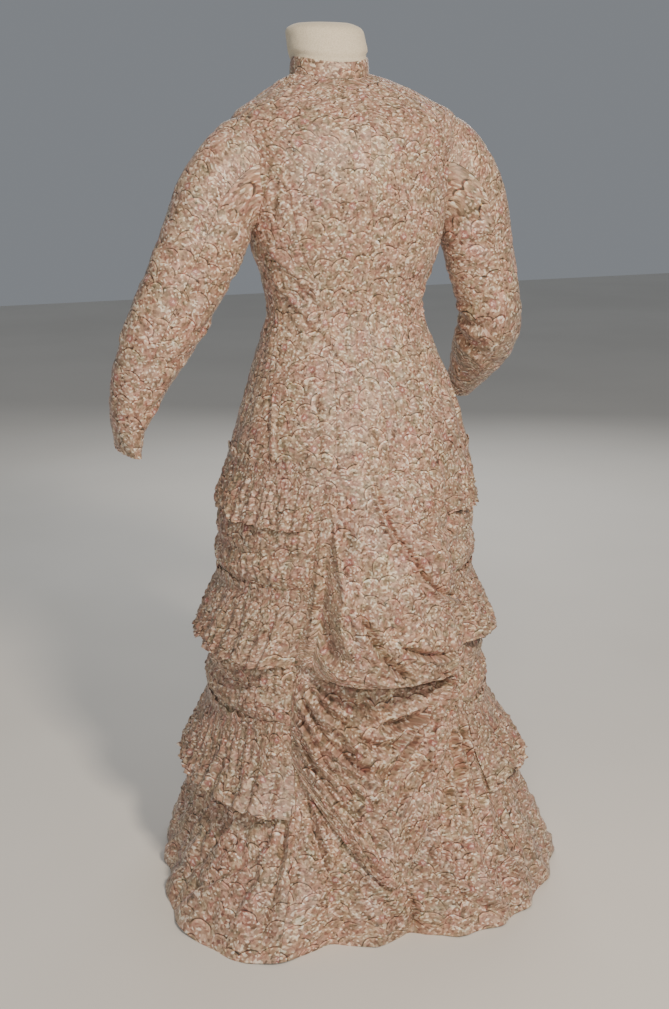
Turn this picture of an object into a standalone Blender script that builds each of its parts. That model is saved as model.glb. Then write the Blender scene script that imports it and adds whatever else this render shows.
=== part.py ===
"""A trained bustle dress of printed cotton on a limbless dress form, in metres.

+Z is up, the front faces -Y and the wearer's left is +X. The origin lies on the floor, under the
middle of the form's foot. Angles go round the dress from the middle of the back (0 degrees)
through the wearer's left (90) to the middle of the front (180).
"""
import math
from typing import NamedTuple

import bpy
import numpy as np

# Cloth and the gaps between pieces
CLOTH = 0.0015
LAYER_GAP = 0.0005
SEAM_GAP = 0.0003
OVER = CLOTH + LAYER_GAP
ROUNDNESS = 0.94
# Degrees in one unit across a surface, so that steps across and down are alike in size
TURN = 60.0
SMOOTH_UNDER = 50.0

# Heights of the main lines
NECK_LINE = 1.423
COLLAR_HEIGHT = 0.027
COLLAR_GAP = 0.0007
NECK_MIDDLE_Y = -0.072
NECK_LEVELS_OVER = 0.045
NECK_LEAN_SIDE = 0.06
NECK_LEAN_FORWARD = -0.38
COLLAR_LEAN = 0.08
NECK_SIDES = 24
BORDER_TOP = 0.2995
HEM = 0.0006
HEM_SPREAD_TOP = 0.30
FRONT_NECK_DROP = 0.055
BACK_NECK_DROP = 0.010
NECK_DROP_FROM = 1.30

# Dress form
FORM_CLEAR = 0.0048
FORM_END = 0.80
FORM_HEIGHTS = [FORM_END, 0.86, 0.92, 0.98, 1.025, 1.065, 1.11, 1.16, 1.21, 1.26, 1.31, 1.345,
                1.381, 1.412]
# Places up the form's neck over the neck line, and how far each lies inside the collar's line
FORM_NECK = [(-0.004, 0.0032), (0.0045, 0.0024), (0.027, 0.0022), (0.031, 0.0022),
             (0.040, -0.0030), (0.070, -0.0040), (0.079, 0.0040), (0.086, 0.0260)]
POST_RADIUS = 0.016
FOOT_RADIUS = 0.150
FOOT_THICKNESS = 0.014
FOOT_EDGE_HEIGHT = 0.010
FOOT_EDGE_INSET = 0.008
POST_SIDES = 20
FOOT_SIDES = 32

# Armholes and sleeves
ARMHOLE_TOP = 1.350
ARMHOLE_BOTTOM = 1.160
ARMHOLE_MIDDLE_Y = -0.008
ARMHOLE_HALF_DEPTH = 0.058
ARMHOLE_GAP = 0.0009
SLEEVE_START = 0.0012
SLEEVE_SEAM_GAP = 0.35
SLEEVE_ROUND = 7
BACK_SLEEVE_SEAM = 78.0
FRONT_SLEEVE_SEAM = -98.0

# Flounces
WAVES = 34
STEPS_PER_WAVE = 4
FLOUNCE_SETBACK = 2.6
FLOUNCE_EASE = 0.04
FLOUNCE_SAG = 0.004
HEADING_STAND = 0.0075
HEADING_WAVE = 0.0035
UNDER_DRAPE = 3.0
PUFF_FADE = 0.1

# Back drapery, over the skirt
POUF_SEAT = 0.0009
SWAG_SEAT = 0.0024

# Buttons
BUTTON_COUNT = 12
BUTTON_TOP = 1.352
BUTTON_BOTTOM = 0.815
BUTTON_RADIUS = 0.006
BUTTON_SETBACK = 0.0085
BUTTON_SIDES = 8
BUTTON_STRIP = 6.0
# Share of the radius and rise over the cloth at each ring of a button
BUTTON_PROFILE = ((0.90, 0.0005), (1.0, 0.0018), (0.62, 0.0030))


class Section(NamedTuple):
    """One level of the dress: its height, half width, front, back, sides' depth and middle."""
    height: float
    half_width: float
    front: float
    back: float
    side: float
    middle: float


SECTIONS = [
    Section(0.000, 0.318, -0.270, 0.400, 0.040, 0.000),
    Section(0.150, 0.288, -0.235, 0.345, 0.040, 0.004),
    Section(0.280, 0.266, -0.212, 0.290, 0.036, 0.010),
    Section(0.400, 0.248, -0.192, 0.252, 0.030, 0.012),
    Section(0.520, 0.237, -0.176, 0.232, 0.026, 0.012),
    Section(0.640, 0.228, -0.163, 0.220, 0.023, 0.010),
    Section(0.780, 0.217, -0.146, 0.203, 0.020, 0.002),
    Section(0.850, 0.200, -0.136, 0.180, 0.018, 0.000),
    Section(0.920, 0.176, -0.125, 0.147, 0.010, 0.000),
    Section(0.985, 0.151, -0.115, 0.112, 0.002, 0.000),
    Section(1.025, 0.141, -0.110, 0.097, 0.000, 0.000),
    Section(1.060, 0.147, -0.123, 0.096, 0.000, 0.000),
    Section(1.100, 0.161, -0.143, 0.102, 0.000, -0.003),
    Section(1.150, 0.175, -0.158, 0.110, 0.000, -0.003),
    Section(1.200, 0.180, -0.160, 0.115, -0.002, -0.002),
    Section(1.260, 0.191, -0.152, 0.110, -0.006, 0.000),
    Section(1.310, 0.204, -0.145, 0.096, -0.016, -0.006),
    Section(1.345, 0.207, -0.140, 0.079, -0.028, -0.010),
    Section(1.363, 0.193, -0.138, 0.063, -0.038, -0.013),
    Section(1.381, 0.160, -0.136, 0.047, -0.048, -0.012),
    Section(1.398, 0.128, -0.134, 0.029, -0.057, -0.008),
    Section(1.412, 0.099, -0.132, 0.009, -0.066, -0.003),
    Section(1.423, 0.070, -0.130, -0.008, -0.072, 0.003),
]


class Reach(NamedTuple):
    """How far the hem lies from the origin on the floor, at one angle."""
    angle: float
    distance: float


HEM_OUTLINE = [
    Reach(-180, 0.290), Reach(-140, 0.310), Reach(-105, 0.338), Reach(-78, 0.366),
    Reach(-53, 0.402), Reach(-33, 0.424), Reach(-13, 0.442), Reach(7, 0.412),
    Reach(25, 0.432), Reach(44, 0.503), Reach(67, 0.432), Reach(85, 0.364),
    Reach(105, 0.341), Reach(140, 0.312), Reach(180, 0.290),
]


class SeamPoint(NamedTuple):
    """Where a lengthwise seam lies at one height, as an angle round the dress."""
    height: float
    angle: float


BACK_SEAM = [
    SeamPoint(0.745, 27), SeamPoint(0.850, 24), SeamPoint(0.920, 24), SeamPoint(1.025, 29),
    SeamPoint(1.060, 32), SeamPoint(1.140, 43), SeamPoint(1.200, 46), SeamPoint(1.250, 50),
    SeamPoint(1.275, 56), SeamPoint(1.295, 64), SeamPoint(1.330, 76), SeamPoint(1.423, 76),
]
SIDE_SEAM = [
    SeamPoint(0.745, 58), SeamPoint(0.850, 61), SeamPoint(0.950, 69), SeamPoint(1.025, 78),
    SeamPoint(1.100, 86), SeamPoint(1.180, 91), SeamPoint(1.300, 91),
]
FRONT_EDGE = [
    SeamPoint(0.745, 58), SeamPoint(0.850, 61), SeamPoint(0.950, 69), SeamPoint(1.025, 78),
    SeamPoint(1.100, 86), SeamPoint(1.180, 91), SeamPoint(1.270, 91), SeamPoint(1.300, 85),
    SeamPoint(1.330, 76), SeamPoint(1.423, 76),
]
LEFT_DRAPE_EDGE = [
    SeamPoint(0.000, 36), SeamPoint(0.150, 39), SeamPoint(0.300, 41), SeamPoint(0.420, 40),
    SeamPoint(0.530, 34), SeamPoint(0.620, 31), SeamPoint(0.780, 27),
]
RIGHT_DRAPE_EDGE = [
    SeamPoint(0.000, 30), SeamPoint(0.150, 31), SeamPoint(0.300, 32), SeamPoint(0.450, 31),
    SeamPoint(0.600, 30), SeamPoint(0.780, 28),
]

BODICE_HEIGHTS = [0.745, 0.80, 0.86, 0.92, 0.98, 1.025, 1.065, 1.11, 1.16, 1.21, 1.26, 1.31,
                  1.345, 1.363, 1.381, 1.398, 1.412, 1.423]
SIDE_BACK_HEIGHTS = BODICE_HEIGHTS[:12]
SKIRT_HEIGHTS = [0.742, 0.71, 0.676, 0.649, 0.622, 0.596, 0.57, 0.50, 0.438, 0.411, 0.384, 0.359,
                 0.334, 0.30]
BORDER_HEIGHTS = [BORDER_TOP, 0.23, 0.16, 0.10, 0.045, HEM]
TRAIN_HEIGHTS = [0.438, 0.411, 0.384, 0.359, 0.334, 0.30, 0.23, 0.16, 0.10, 0.045, HEM]


class Puff(NamedTuple):
    """A shirred puff of the skirt: its lower and upper line of stitches and how far it stands."""
    bottom: float
    top: float
    stand: float


PUFFS = [
    Puff(0.622, 0.676, 0.008), Puff(0.570, 0.622, 0.008),
    Puff(0.384, 0.438, 0.008), Puff(0.334, 0.384, 0.008),
]


class Flounce(NamedTuple):
    """A gathered flounce with a small heading above its line of stitches."""
    name: str
    heading: float
    gather: float
    bottom: float
    flare: float
    wave: float


FLOUNCES = [
    Flounce("flounce_upper", 0.786, 0.768, 0.676, 0.018, 0.0060),
    Flounce("flounce_middle", 0.568, 0.548, 0.436, 0.036, 0.0075),
    Flounce("flounce_lower", 0.330, 0.310, 0.186, 0.034, 0.0080),
]


class Fold(NamedTuple):
    """A soft ridge (or trough, below zero) from one place to another on a draped piece."""
    across_from: float
    down_from: float
    across_to: float
    down_to: float
    rise: float
    half_width: float


POUF_FOLDS = [
    Fold(0.27, 0.03, -0.10, 0.30, -0.017, 0.09),
    Fold(-0.10, 0.30, -0.22, 0.38, -0.018, 0.09),
    Fold(-0.22, 0.38, -0.92, 0.52, -0.020, 0.09),
    Fold(0.08, 0.02, -0.30, 0.28, 0.012, 0.10),
    Fold(-0.30, 0.28, -0.80, 0.40, 0.012, 0.10),
    Fold(0.88, 0.05, 0.90, 0.95, 0.007, 0.09),
    Fold(0.35, 0.20, 0.30, 0.60, 0.010, 0.14),
    Fold(-0.55, 0.04, -0.88, 0.30, -0.009, 0.09),
    Fold(0.62, 0.70, 0.05, 0.84, -0.014, 0.10),
    Fold(0.55, 0.48, 0.10, 0.68, -0.013, 0.10),
    Fold(-0.20, 0.60, -0.75, 0.74, -0.014, 0.10),
    Fold(-0.10, 0.80, -0.60, 0.86, 0.008, 0.09),
]


class HemFold(NamedTuple):
    """A fold that runs up from the hem: its angle at the hem, its rise, half width and lean."""
    angle: float
    rise: float
    half_width: float
    lean: float
    top: float


HEM_FOLDS = [
    HemFold(-172, 0.008, 6.0, 1, 0.20), HemFold(-158, 0.010, 5.0, -1, 0.21),
    HemFold(-144, 0.008, 6.0, 1, 0.19), HemFold(-129, 0.011, 5.5, 1, 0.22),
    HemFold(-114, 0.009, 5.0, -1, 0.20), HemFold(-99, 0.012, 5.5, 1, 0.22),
    HemFold(-84, 0.009, 5.0, 2, 0.20), HemFold(-69, 0.012, 5.0, 2, 0.23),
    HemFold(-54, 0.012, 4.5, 3, 0.24), HemFold(-40, 0.010, 4.0, 3, 0.24),
    HemFold(-25, 0.014, 3.4, 4, 0.42), HemFold(-15, 0.012, 3.0, 3, 0.42),
    HemFold(-5, 0.012, 3.0, 1, 0.36), HemFold(6, -0.014, 3.2, -2, 0.30),
    HemFold(15, 0.013, 3.4, -3, 0.34), HemFold(25, -0.014, 3.6, -6, 0.42),
    HemFold(36, 0.012, 4.0, -3, 0.24), HemFold(49, -0.010, 4.5, 2, 0.24),
    HemFold(60, 0.012, 4.5, 2, 0.23), HemFold(75, 0.010, 5.0, -2, 0.22),
    HemFold(90, 0.012, 5.0, -1, 0.22), HemFold(105, 0.009, 5.5, 1, 0.20),
    HemFold(120, 0.011, 5.5, -1, 0.22), HemFold(135, 0.008, 6.0, 1, 0.19),
    HemFold(150, 0.010, 5.0, 1, 0.21), HemFold(165, 0.009, 6.0, -1, 0.20),
]


class PoufRow(NamedTuple):
    """A level of the pouf: its share of the way down, heights, stand and turn under the rim."""
    down: float
    height: float
    edge_height: float
    stand: float
    tuck: float


POUF_PROFILE = [
    PoufRow(0.00, 0.757, 0.757, 0.000, 0.000), PoufRow(0.12, 0.712, 0.714, 0.010, 0.000),
    PoufRow(0.30, 0.635, 0.650, 0.034, 0.000), PoufRow(0.50, 0.545, 0.575, 0.058, 0.000),
    PoufRow(0.68, 0.466, 0.515, 0.072, 0.000), PoufRow(0.80, 0.424, 0.480, 0.071, 0.000),
    PoufRow(0.88, 0.408, 0.462, 0.064, 0.002), PoufRow(0.94, 0.404, 0.450, 0.054, 0.010),
    PoufRow(1.00, 0.401, 0.440, 0.045, 0.028),
]


class SwagEdge(NamedTuple):
    """The swag's upper and lower edge at one place across it."""
    across: float
    top: float
    bottom: float


SWAG_EDGES = [
    SwagEdge(-1.00, 0.425, 0.360), SwagEdge(-0.60, 0.440, 0.300), SwagEdge(-0.30, 0.448, 0.240),
    SwagEdge(0.00, 0.450, 0.160), SwagEdge(0.26, 0.448, 0.088), SwagEdge(0.60, 0.440, 0.160),
    SwagEdge(1.00, 0.425, 0.275),
]


class SleeveRow(NamedTuple):
    """A ring of a sleeve: its outer and inner edge, as (out, y, z), and its half depth."""
    outer: tuple
    inner: tuple
    half_depth: float


LEFT_SLEEVE = [
    SleeveRow((0.262, 0.000, 1.303), (0.189, 0.000, 1.133), 0.060),
    SleeveRow((0.303, 0.002, 1.245), (0.195, 0.000, 1.114), 0.057),
    SleeveRow((0.331, 0.004, 1.175), (0.206, 0.000, 1.092), 0.054),
    SleeveRow((0.360, 0.005, 1.106), (0.226, 0.000, 1.063), 0.051),
    SleeveRow((0.393, 0.005, 1.036), (0.262, 0.000, 0.998), 0.048),
    SleeveRow((0.414, 0.000, 0.975), (0.296, -0.005, 0.946), 0.046),
    SleeveRow((0.427, -0.006, 0.918), (0.334, -0.012, 0.892), 0.045),
    SleeveRow((0.430, -0.012, 0.870), (0.360, -0.018, 0.852), 0.044),
    SleeveRow((0.424, -0.018, 0.824), (0.377, -0.024, 0.814), 0.042),
    SleeveRow((0.415, -0.022, 0.790), (0.382, -0.028, 0.785), 0.040),
]
RIGHT_SLEEVE = [
    SleeveRow((0.263, 0.000, 1.306), (0.189, 0.000, 1.133), 0.060),
    SleeveRow((0.301, 0.002, 1.240), (0.195, 0.000, 1.112), 0.057),
    SleeveRow((0.316, 0.005, 1.170), (0.202, 0.000, 1.086), 0.055),
    SleeveRow((0.329, 0.008, 1.100), (0.214, 0.000, 1.052), 0.053),
    SleeveRow((0.342, 0.010, 1.035), (0.226, 0.000, 1.012), 0.052),
    SleeveRow((0.350, 0.004, 0.975), (0.236, -0.018, 0.978), 0.050),
    SleeveRow((0.349, -0.020, 0.925), (0.245, -0.055, 0.950), 0.048),
    SleeveRow((0.343, -0.062, 0.885), (0.258, -0.090, 0.920), 0.044),
    SleeveRow((0.338, -0.105, 0.855), (0.272, -0.122, 0.888), 0.040),
    SleeveRow((0.335, -0.140, 0.830), (0.281, -0.150, 0.862), 0.037),
]


class Finish(NamedTuple):
    """Colour, roughness and metallic value of a material."""
    colour: tuple
    roughness: float
    metallic: float


PRINTED_COTTON = Finish((0.392, 0.266, 0.192), 0.85, 0.0)
SHADED_COTTON = Finish((0.340, 0.226, 0.165), 0.85, 0.0)
FORM_COVER = Finish((0.680, 0.620, 0.520), 0.75, 0.0)
PAINTED_METAL = Finish((0.060, 0.055, 0.050), 0.50, 0.6)
SHELL_BUTTON = Finish((0.260, 0.170, 0.120), 0.35, 0.0)


def clear_scene():
    """Remove every object that the file starts with."""
    for item in list(bpy.data.objects):
        bpy.data.objects.remove(item, do_unlink=True)


def make_material(name, finish):
    """Make a Principled material from a finish."""
    material = bpy.data.materials.new(name)
    material.use_nodes = True
    shader = material.node_tree.nodes["Principled BSDF"]
    shader.inputs["Base Color"].default_value = (*finish.colour, 1.0)
    shader.inputs["Roughness"].default_value = finish.roughness
    shader.inputs["Metallic"].default_value = finish.metallic
    return material


def read_table(rows, column, place):
    """Read a column of a table between its rows, with a smooth curve that never overshoots."""
    xs = np.array([row[0] for row in rows], float)
    ys = np.array([row[column] for row in rows], float)
    place = min(max(place, xs[0]), xs[-1])
    steps = np.diff(ys) / np.diff(xs)
    slopes = np.zeros(len(xs))
    slopes[0], slopes[-1] = steps[0], steps[-1]
    for i in range(1, len(xs) - 1):
        if steps[i - 1] * steps[i] > 0:
            slopes[i] = 2 * steps[i - 1] * steps[i] / (steps[i - 1] + steps[i])
    i = min(int(np.searchsorted(xs, place, side="right")) - 1, len(xs) - 2)
    gap = xs[i + 1] - xs[i]
    t = (place - xs[i]) / gap
    return ((1 + 2 * t) * (1 - t) ** 2 * ys[i] + t * (1 - t) ** 2 * gap * slopes[i]
            + t * t * (3 - 2 * t) * ys[i + 1] + t * t * (t - 1) * gap * slopes[i + 1])


def rounded(value):
    """Make a sine or cosine a little squarer, so that a section is fuller than an ellipse."""
    return math.copysign(abs(value) ** ROUNDNESS, value)


def turned(angle):
    """Bring an angle into the range from -180 to 180 degrees."""
    return (angle + 180) % 360 - 180


def dress_point(angle, height):
    """A point of the dress's outer side, before folds, at an angle and a height."""
    sine, cosine = math.sin(math.radians(angle)), math.cos(math.radians(angle))
    level = [read_table(SECTIONS, column, height) for column in range(1, 6)]
    half_width, front, back, side, middle = level
    reach = back - side if cosine > 0 else side - front
    x = middle + half_width * rounded(sine)
    point = np.array([x, side + reach * rounded(cosine), height])
    drop = max(0.0, (height - NECK_DROP_FROM) / (NECK_LINE - NECK_DROP_FROM)) ** 2
    point[2] -= drop * (FRONT_NECK_DROP if cosine < 0 else BACK_NECK_DROP) * cosine ** 2
    if height < HEM_SPREAD_TOP:
        spread = (1 - height / HEM_SPREAD_TOP) ** 2.1
        distance = read_table(HEM_OUTLINE, 1, turned(angle))
        hem = np.array([distance * sine, distance * cosine, height])
        point = point * (1 - spread) + hem * spread
    return point


def fold_height(angle, height):
    """How far the folds that run up from the hem lift the cloth."""
    rise = 0.0
    for fold in HEM_FOLDS:
        if height < fold.top:
            share = 1 - height / fold.top
            middle = fold.angle + fold.lean * height / fold.top
            away = turned(angle - middle) / (fold.half_width * (0.6 + 0.4 * share))
            rise += fold.rise * share ** 0.8 * math.exp(-away * away)
    return rise


def puff_height(angle, height):
    """How far the shirred puffs of the skirt lift the cloth, clear of the back drapery."""
    side = 1 if turned(angle) > 0 else -1
    if abs(turned(angle)) < drape_edge(side, height) + UNDER_DRAPE + PUFF_FADE:
        return 0.0
    for puff in PUFFS:
        if puff.bottom < height < puff.top:
            share = (height - puff.bottom) / (puff.top - puff.bottom)
            return puff.stand * math.sin(math.pi * share) ** 0.8
    return 0.0


def outward(surface, across, down, step=0.002):
    """The unit vector that points out of a surface at one place on it."""
    sideways = surface(across + step, down) - surface(across - step, down)
    along = surface(across, down + step) - surface(across, down - step)
    normal = np.cross(sideways, along)
    return normal / np.linalg.norm(normal)


def plain_surface(across, height):
    """The dress's outer side before folds, as a surface across and up."""
    return dress_point(across * TURN, height)


def lifted(angle, height, distance):
    """A point at a distance outside the dress's outer side."""
    return dress_point(angle, height) - distance * outward(plain_surface, angle / TURN, height)


def skirt_point(angle, height):
    """A point of the skirt, with its puffs."""
    return lifted(angle, height, puff_height(angle, height))


def border_point(angle, height):
    """A point of the skirt's border or train, with the folds that run up from the hem."""
    return lifted(angle, height, fold_height(angle, height))


def grid_faces(points, rows, columns):
    """The triangles of a grid, each square split along its shorter diagonal."""
    faces = []
    for i in range(rows - 1):
        for j in range(columns - 1):
            a = i * columns + j
            b, c, d = a + 1, a + columns + 1, a + columns
            if np.linalg.norm(points[a] - points[c]) <= np.linalg.norm(points[b] - points[d]):
                faces += [(a, b, c), (a, c, d)]
            else:
                faces += [(a, b, d), (b, c, d)]
    return faces


def rim_faces(rows, columns):
    """The faces that join the outer and the inner grid round their edges."""
    inner = rows * columns
    top = list(range(columns))
    bottom = [(rows - 1) * columns + j for j in range(columns)]
    faces = [(a, a + inner, b + inner, b) for a, b in zip(top, top[1:])]
    faces += [(b, b + inner, a + inner, a) for a, b in zip(bottom, bottom[1:])]
    left = [i * columns for i in range(rows)]
    right = [i * columns + columns - 1 for i in range(rows)]
    faces += [(b, b + inner, a + inner, a) for a, b in zip(left, left[1:])]
    faces += [(a, a + inner, b + inner, b) for a, b in zip(right, right[1:])]
    return faces


def add_object(name, points, faces, material):
    """Make a mesh object, shaded smooth except at its sharp edges."""
    mesh = bpy.data.meshes.new(name)
    mesh.from_pydata([tuple(p) for p in points], [], faces)
    mesh.validate()
    mesh.materials.append(material)
    mesh.shade_smooth()
    mesh.set_sharp_from_angle(angle=math.radians(SMOOTH_UNDER))
    item = bpy.data.objects.new(name, mesh)
    bpy.context.scene.collection.objects.link(item)
    return item


def cloth_piece(name, outer, normals, material):
    """Make a wall of cloth from a grid of outer points and the directions that face out."""
    outer, normals = np.array(outer), np.array(normals)
    rows, columns = outer.shape[:2]
    inner = outer - CLOTH * normals
    points = np.concatenate([outer.reshape(-1, 3), inner.reshape(-1, 3)])
    faces = grid_faces(points, rows, columns)
    faces += [tuple(v + rows * columns for v in face[::-1]) for face in faces]
    faces += rim_faces(rows, columns)
    item = add_object(name, points, faces, material)
    face_outwards(item)
    return item


def face_outwards(item):
    """Turn every face of a closed mesh outwards, going by the sign of its volume."""
    mesh = item.data
    mesh.calc_loop_triangles()
    volume = 0.0
    for triangle in mesh.loop_triangles:
        a, b, c = [mesh.vertices[i].co for i in triangle.vertices]
        volume += a.dot(b.cross(c))
    if volume < 0:
        mesh.flip_normals()


def piece_on(name, surface, columns, rows, material):
    """Make a wall of cloth on a surface, from the places of its columns and rows.

    columns is a function that gives the places across at one row. The surface is the wall's
    outer side where the rows are heights, and its inner side where they go down.
    """
    outer, normals = [], []
    for row in rows:
        places = columns(row)
        outer.append([surface(place, row) for place in places])
        normals.append([-outward(surface, place, row) for place in places])
    return cloth_piece(name, outer, normals, material)


def between(start, end, count):
    """Evenly spaced places from start to end, one more than the count of steps."""
    return [start + (end - start) * i / count for i in range(count + 1)]


def seam_shift(height):
    """Half of the seam gap, as an angle at one height."""
    half_width = read_table(SECTIONS, 1, height)
    return math.degrees(SEAM_GAP / 2 / half_width)


def bodice_panel(name, side, edges, heights, count, material, strip=0.0):
    """Make a lengthwise panel of the bodice between two edges; side is 1 left or -1 right.

    strip is the width, in degrees, of a narrow last column that the buttons are seated on.
    """
    first, second = edges

    def columns(height):
        shift = seam_shift(height)
        start, end = first(height) + shift, second(height) - shift
        places = between(start, end - strip, count)
        if strip:
            places.append(end)
        return [side * place / TURN for place in places]

    return piece_on(name, plain_surface, columns, heights, material)


def armhole_ring(side, shrink, out):
    """The armhole's line on the bodice, shrunk and moved out, as a function of its angle."""
    middle = (ARMHOLE_TOP + ARMHOLE_BOTTOM) / 2
    half_height = (ARMHOLE_TOP - ARMHOLE_BOTTOM) / 2 - shrink
    half_depth = ARMHOLE_HALF_DEPTH - shrink

    def point(turn):
        height = middle + half_height * math.cos(math.radians(turn))
        y = ARMHOLE_MIDDLE_Y + half_depth * math.sin(math.radians(turn))
        half_width, front, back, level, centre = [
            read_table(SECTIONS, column, height) for column in range(1, 6)]
        reach = back - level if y > level else level - front
        cosine = min(1.0, abs(y - level) / reach) ** (1 / ROUNDNESS)
        x = half_width * rounded(math.sqrt(1 - cosine * cosine))
        return np.array([centre + side * (x + out), y, height])
    return point


def armhole_cutter(side):
    """Make the solid that cuts an armhole, hidden and drawn as wire."""
    count = 40
    points, faces = [], []
    for out in (-0.05, 0.05):
        ring = armhole_ring(side, 0.0, out)
        points += [ring(360 * i / count) for i in range(count)]
    for i in range(count):
        after = (i + 1) % count
        faces.append((i, after, count + after, count + i))
    faces.append(tuple(range(count))[::-1])
    faces.append(tuple(range(count, 2 * count)))
    item = add_object("armhole_cutter", points, faces, None)
    face_outwards(item)
    item.hide_render = True
    item.display_type = "WIRE"
    return item


def cut_armhole(panels, side):
    """Cut one armhole through the panels that it crosses."""
    cutter = armhole_cutter(side)
    for panel in panels:
        cut = panel.modifiers.new("armhole", "BOOLEAN")
        cut.operation = "DIFFERENCE"
        cut.solver = "EXACT"
        cut.object = cutter


def make_bodice(cotton):
    """Make the princess panels of the bodice, from the neck to the upper flounce."""
    def middle(height):
        return 0.0

    def front_middle(height):
        return 180.0

    def seam(table):
        return lambda height: read_table(table, 1, height)

    for side, word in ((1, "left"), (-1, "right")):
        back = bodice_panel(f"back_{word}", side, (middle, seam(BACK_SEAM)),
                            BODICE_HEIGHTS, 6, cotton)
        side_back = bodice_panel(f"side_back_{word}", side, (seam(BACK_SEAM), seam(SIDE_SEAM)),
                                 SIDE_BACK_HEIGHTS, 4, cotton)
        front = bodice_panel(f"front_{word}", side, (seam(FRONT_EDGE), front_middle),
                             BODICE_HEIGHTS, 7, cotton, BUTTON_STRIP)
        cut_armhole([back, side_back, front], side)


def neck_point(angle, up, inset):
    """A point round the neck, at a height over the neck line and a distance inside the collar."""
    base = dress_point(angle, NECK_LINE)
    inward = np.array([SECTIONS[-1].middle, NECK_MIDDLE_Y, 0.0]) - base
    inward[2] = 0.0
    inward /= np.linalg.norm(inward)
    above = max(0.0, up - COLLAR_HEIGHT)
    base[2] += (NECK_LINE - base[2]) * min(1.0, above / NECK_LEVELS_OVER)
    lean = np.array([NECK_LEAN_SIDE, NECK_LEAN_FORWARD, 0.0]) * above
    return base + (inset + COLLAR_LEAN * up) * inward + lean + np.array([0.0, 0.0, up])


def make_collar(cotton):
    """Make the stand collar, which meets the top of the bodice and is open at the front."""
    def collar_point(turn, up):
        return neck_point(turn * TURN, up + COLLAR_GAP, 0.0)

    def columns(up):
        shift = seam_shift(NECK_LINE) * 2
        return [place / TURN for place in between(-180 + shift, 180 - shift, NECK_SIDES)]

    piece_on("collar", collar_point, columns, [0.0, COLLAR_HEIGHT / 2, COLLAR_HEIGHT], cotton)


def sleeve_ring(rows, side, index):
    """A ring of a sleeve as a function of its angle: 0 at the outer edge, 90 at the back."""
    def edge(row, which):
        out, y, z = getattr(rows[row], which)
        return np.array([side * out, y, z])

    outer, inner = edge(index, "outer"), edge(index, "inner")
    before, after = max(index - 1, 0), min(index + 1, len(rows) - 1)
    along = (edge(after, "outer") + edge(after, "inner")
             - edge(before, "outer") - edge(before, "inner"))
    across = (outer - inner) / 2
    depth = np.cross(along, across)
    depth *= rows[index].half_depth / np.linalg.norm(depth)
    if depth[1] < 0:
        depth = -depth

    def point(turn):
        return ((outer + inner) / 2 + across * math.cos(math.radians(turn))
                + depth * math.sin(math.radians(turn)))
    return point


def sleeve_rings(rows, side):
    """All the rings of a sleeve, from inside its armhole down to the cuff."""
    rings = [armhole_ring(side, ARMHOLE_GAP, out) for out in (-SLEEVE_START, SLEEVE_START)]
    rings += [sleeve_ring(rows, side, index) for index in range(len(rows))]
    return rings


def make_sleeve(word, side, rows, cotton):
    """Make the upper and the under piece of a sleeve."""
    rings = sleeve_rings(rows, side)

    def sleeve_point(turn, place):
        index = min(max(int(math.floor(place)), 0), len(rings) - 2)
        share = place - index
        return rings[index](turn * TURN) * (1 - share) + rings[index + 1](turn * TURN) * share

    def ring_normal(turn, index):
        before, after = max(index - 1, 0), min(index + 1, len(rings) - 1)
        along = sleeve_point(turn, after) - sleeve_point(turn, before)
        step = 0.02
        round_it = sleeve_point(turn + step, index) - sleeve_point(turn - step, index)
        normal = np.cross(round_it, along)
        normal /= np.linalg.norm(normal)
        middle = (sleeve_point(0, index) + sleeve_point(3, index)) / 2
        return normal if normal.dot(sleeve_point(turn, index) - middle) > 0 else -normal

    pieces = (("upper", FRONT_SLEEVE_SEAM, BACK_SLEEVE_SEAM),
              ("under", BACK_SLEEVE_SEAM, 360 + FRONT_SLEEVE_SEAM))
    for piece, start, end in pieces:
        places = between(start + SLEEVE_SEAM_GAP, end - SLEEVE_SEAM_GAP, SLEEVE_ROUND)
        turns = [place / TURN for place in places]
        outer = [[sleeve_point(t, i) for t in turns] for i in range(len(rings))]
        normals = [[ring_normal(t, i) for t in turns] for i in range(len(rings))]
        cloth_piece(f"sleeve_{word}_{piece}", outer, normals, cotton)


def drape_edge(side, height):
    """The angle where the skirt ends and the back drapery starts, on the left (1) or right."""
    return read_table(LEFT_DRAPE_EDGE if side > 0 else RIGHT_DRAPE_EDGE, 1, height)


def round_front(height, setback, count):
    """Places round the front of the skirt, from one drape edge to the other.

    The first and last columns are the narrow strips that the back drapery lies on.
    """
    start = drape_edge(1, height) + setback
    end = 360 - drape_edge(-1, height) - setback
    places = [start, *between(start + UNDER_DRAPE, end - UNDER_DRAPE, count - 2), end]
    return [place / TURN for place in places]


def make_skirt(cotton):
    """Make the shirred skirt, its border and the train behind them."""
    def puffed(turn, height):
        return skirt_point(turn * TURN, height)

    def folded(turn, height):
        return border_point(turn * TURN, height)

    def skirt_columns(height):
        return round_front(height, seam_shift(height), 28)

    def border_columns(height):
        return round_front(height, seam_shift(height), 48)

    def train_columns(height):
        shift = seam_shift(height)
        right, left = shift - drape_edge(-1, height), drape_edge(1, height) - shift
        return [place / TURN for place in between(right, left, 24)]

    piece_on("skirt_shirred", puffed, skirt_columns, SKIRT_HEIGHTS, cotton)
    piece_on("skirt_border", folded, border_columns, BORDER_HEIGHTS, cotton)
    piece_on("train", folded, train_columns, TRAIN_HEIGHTS, cotton)


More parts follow.
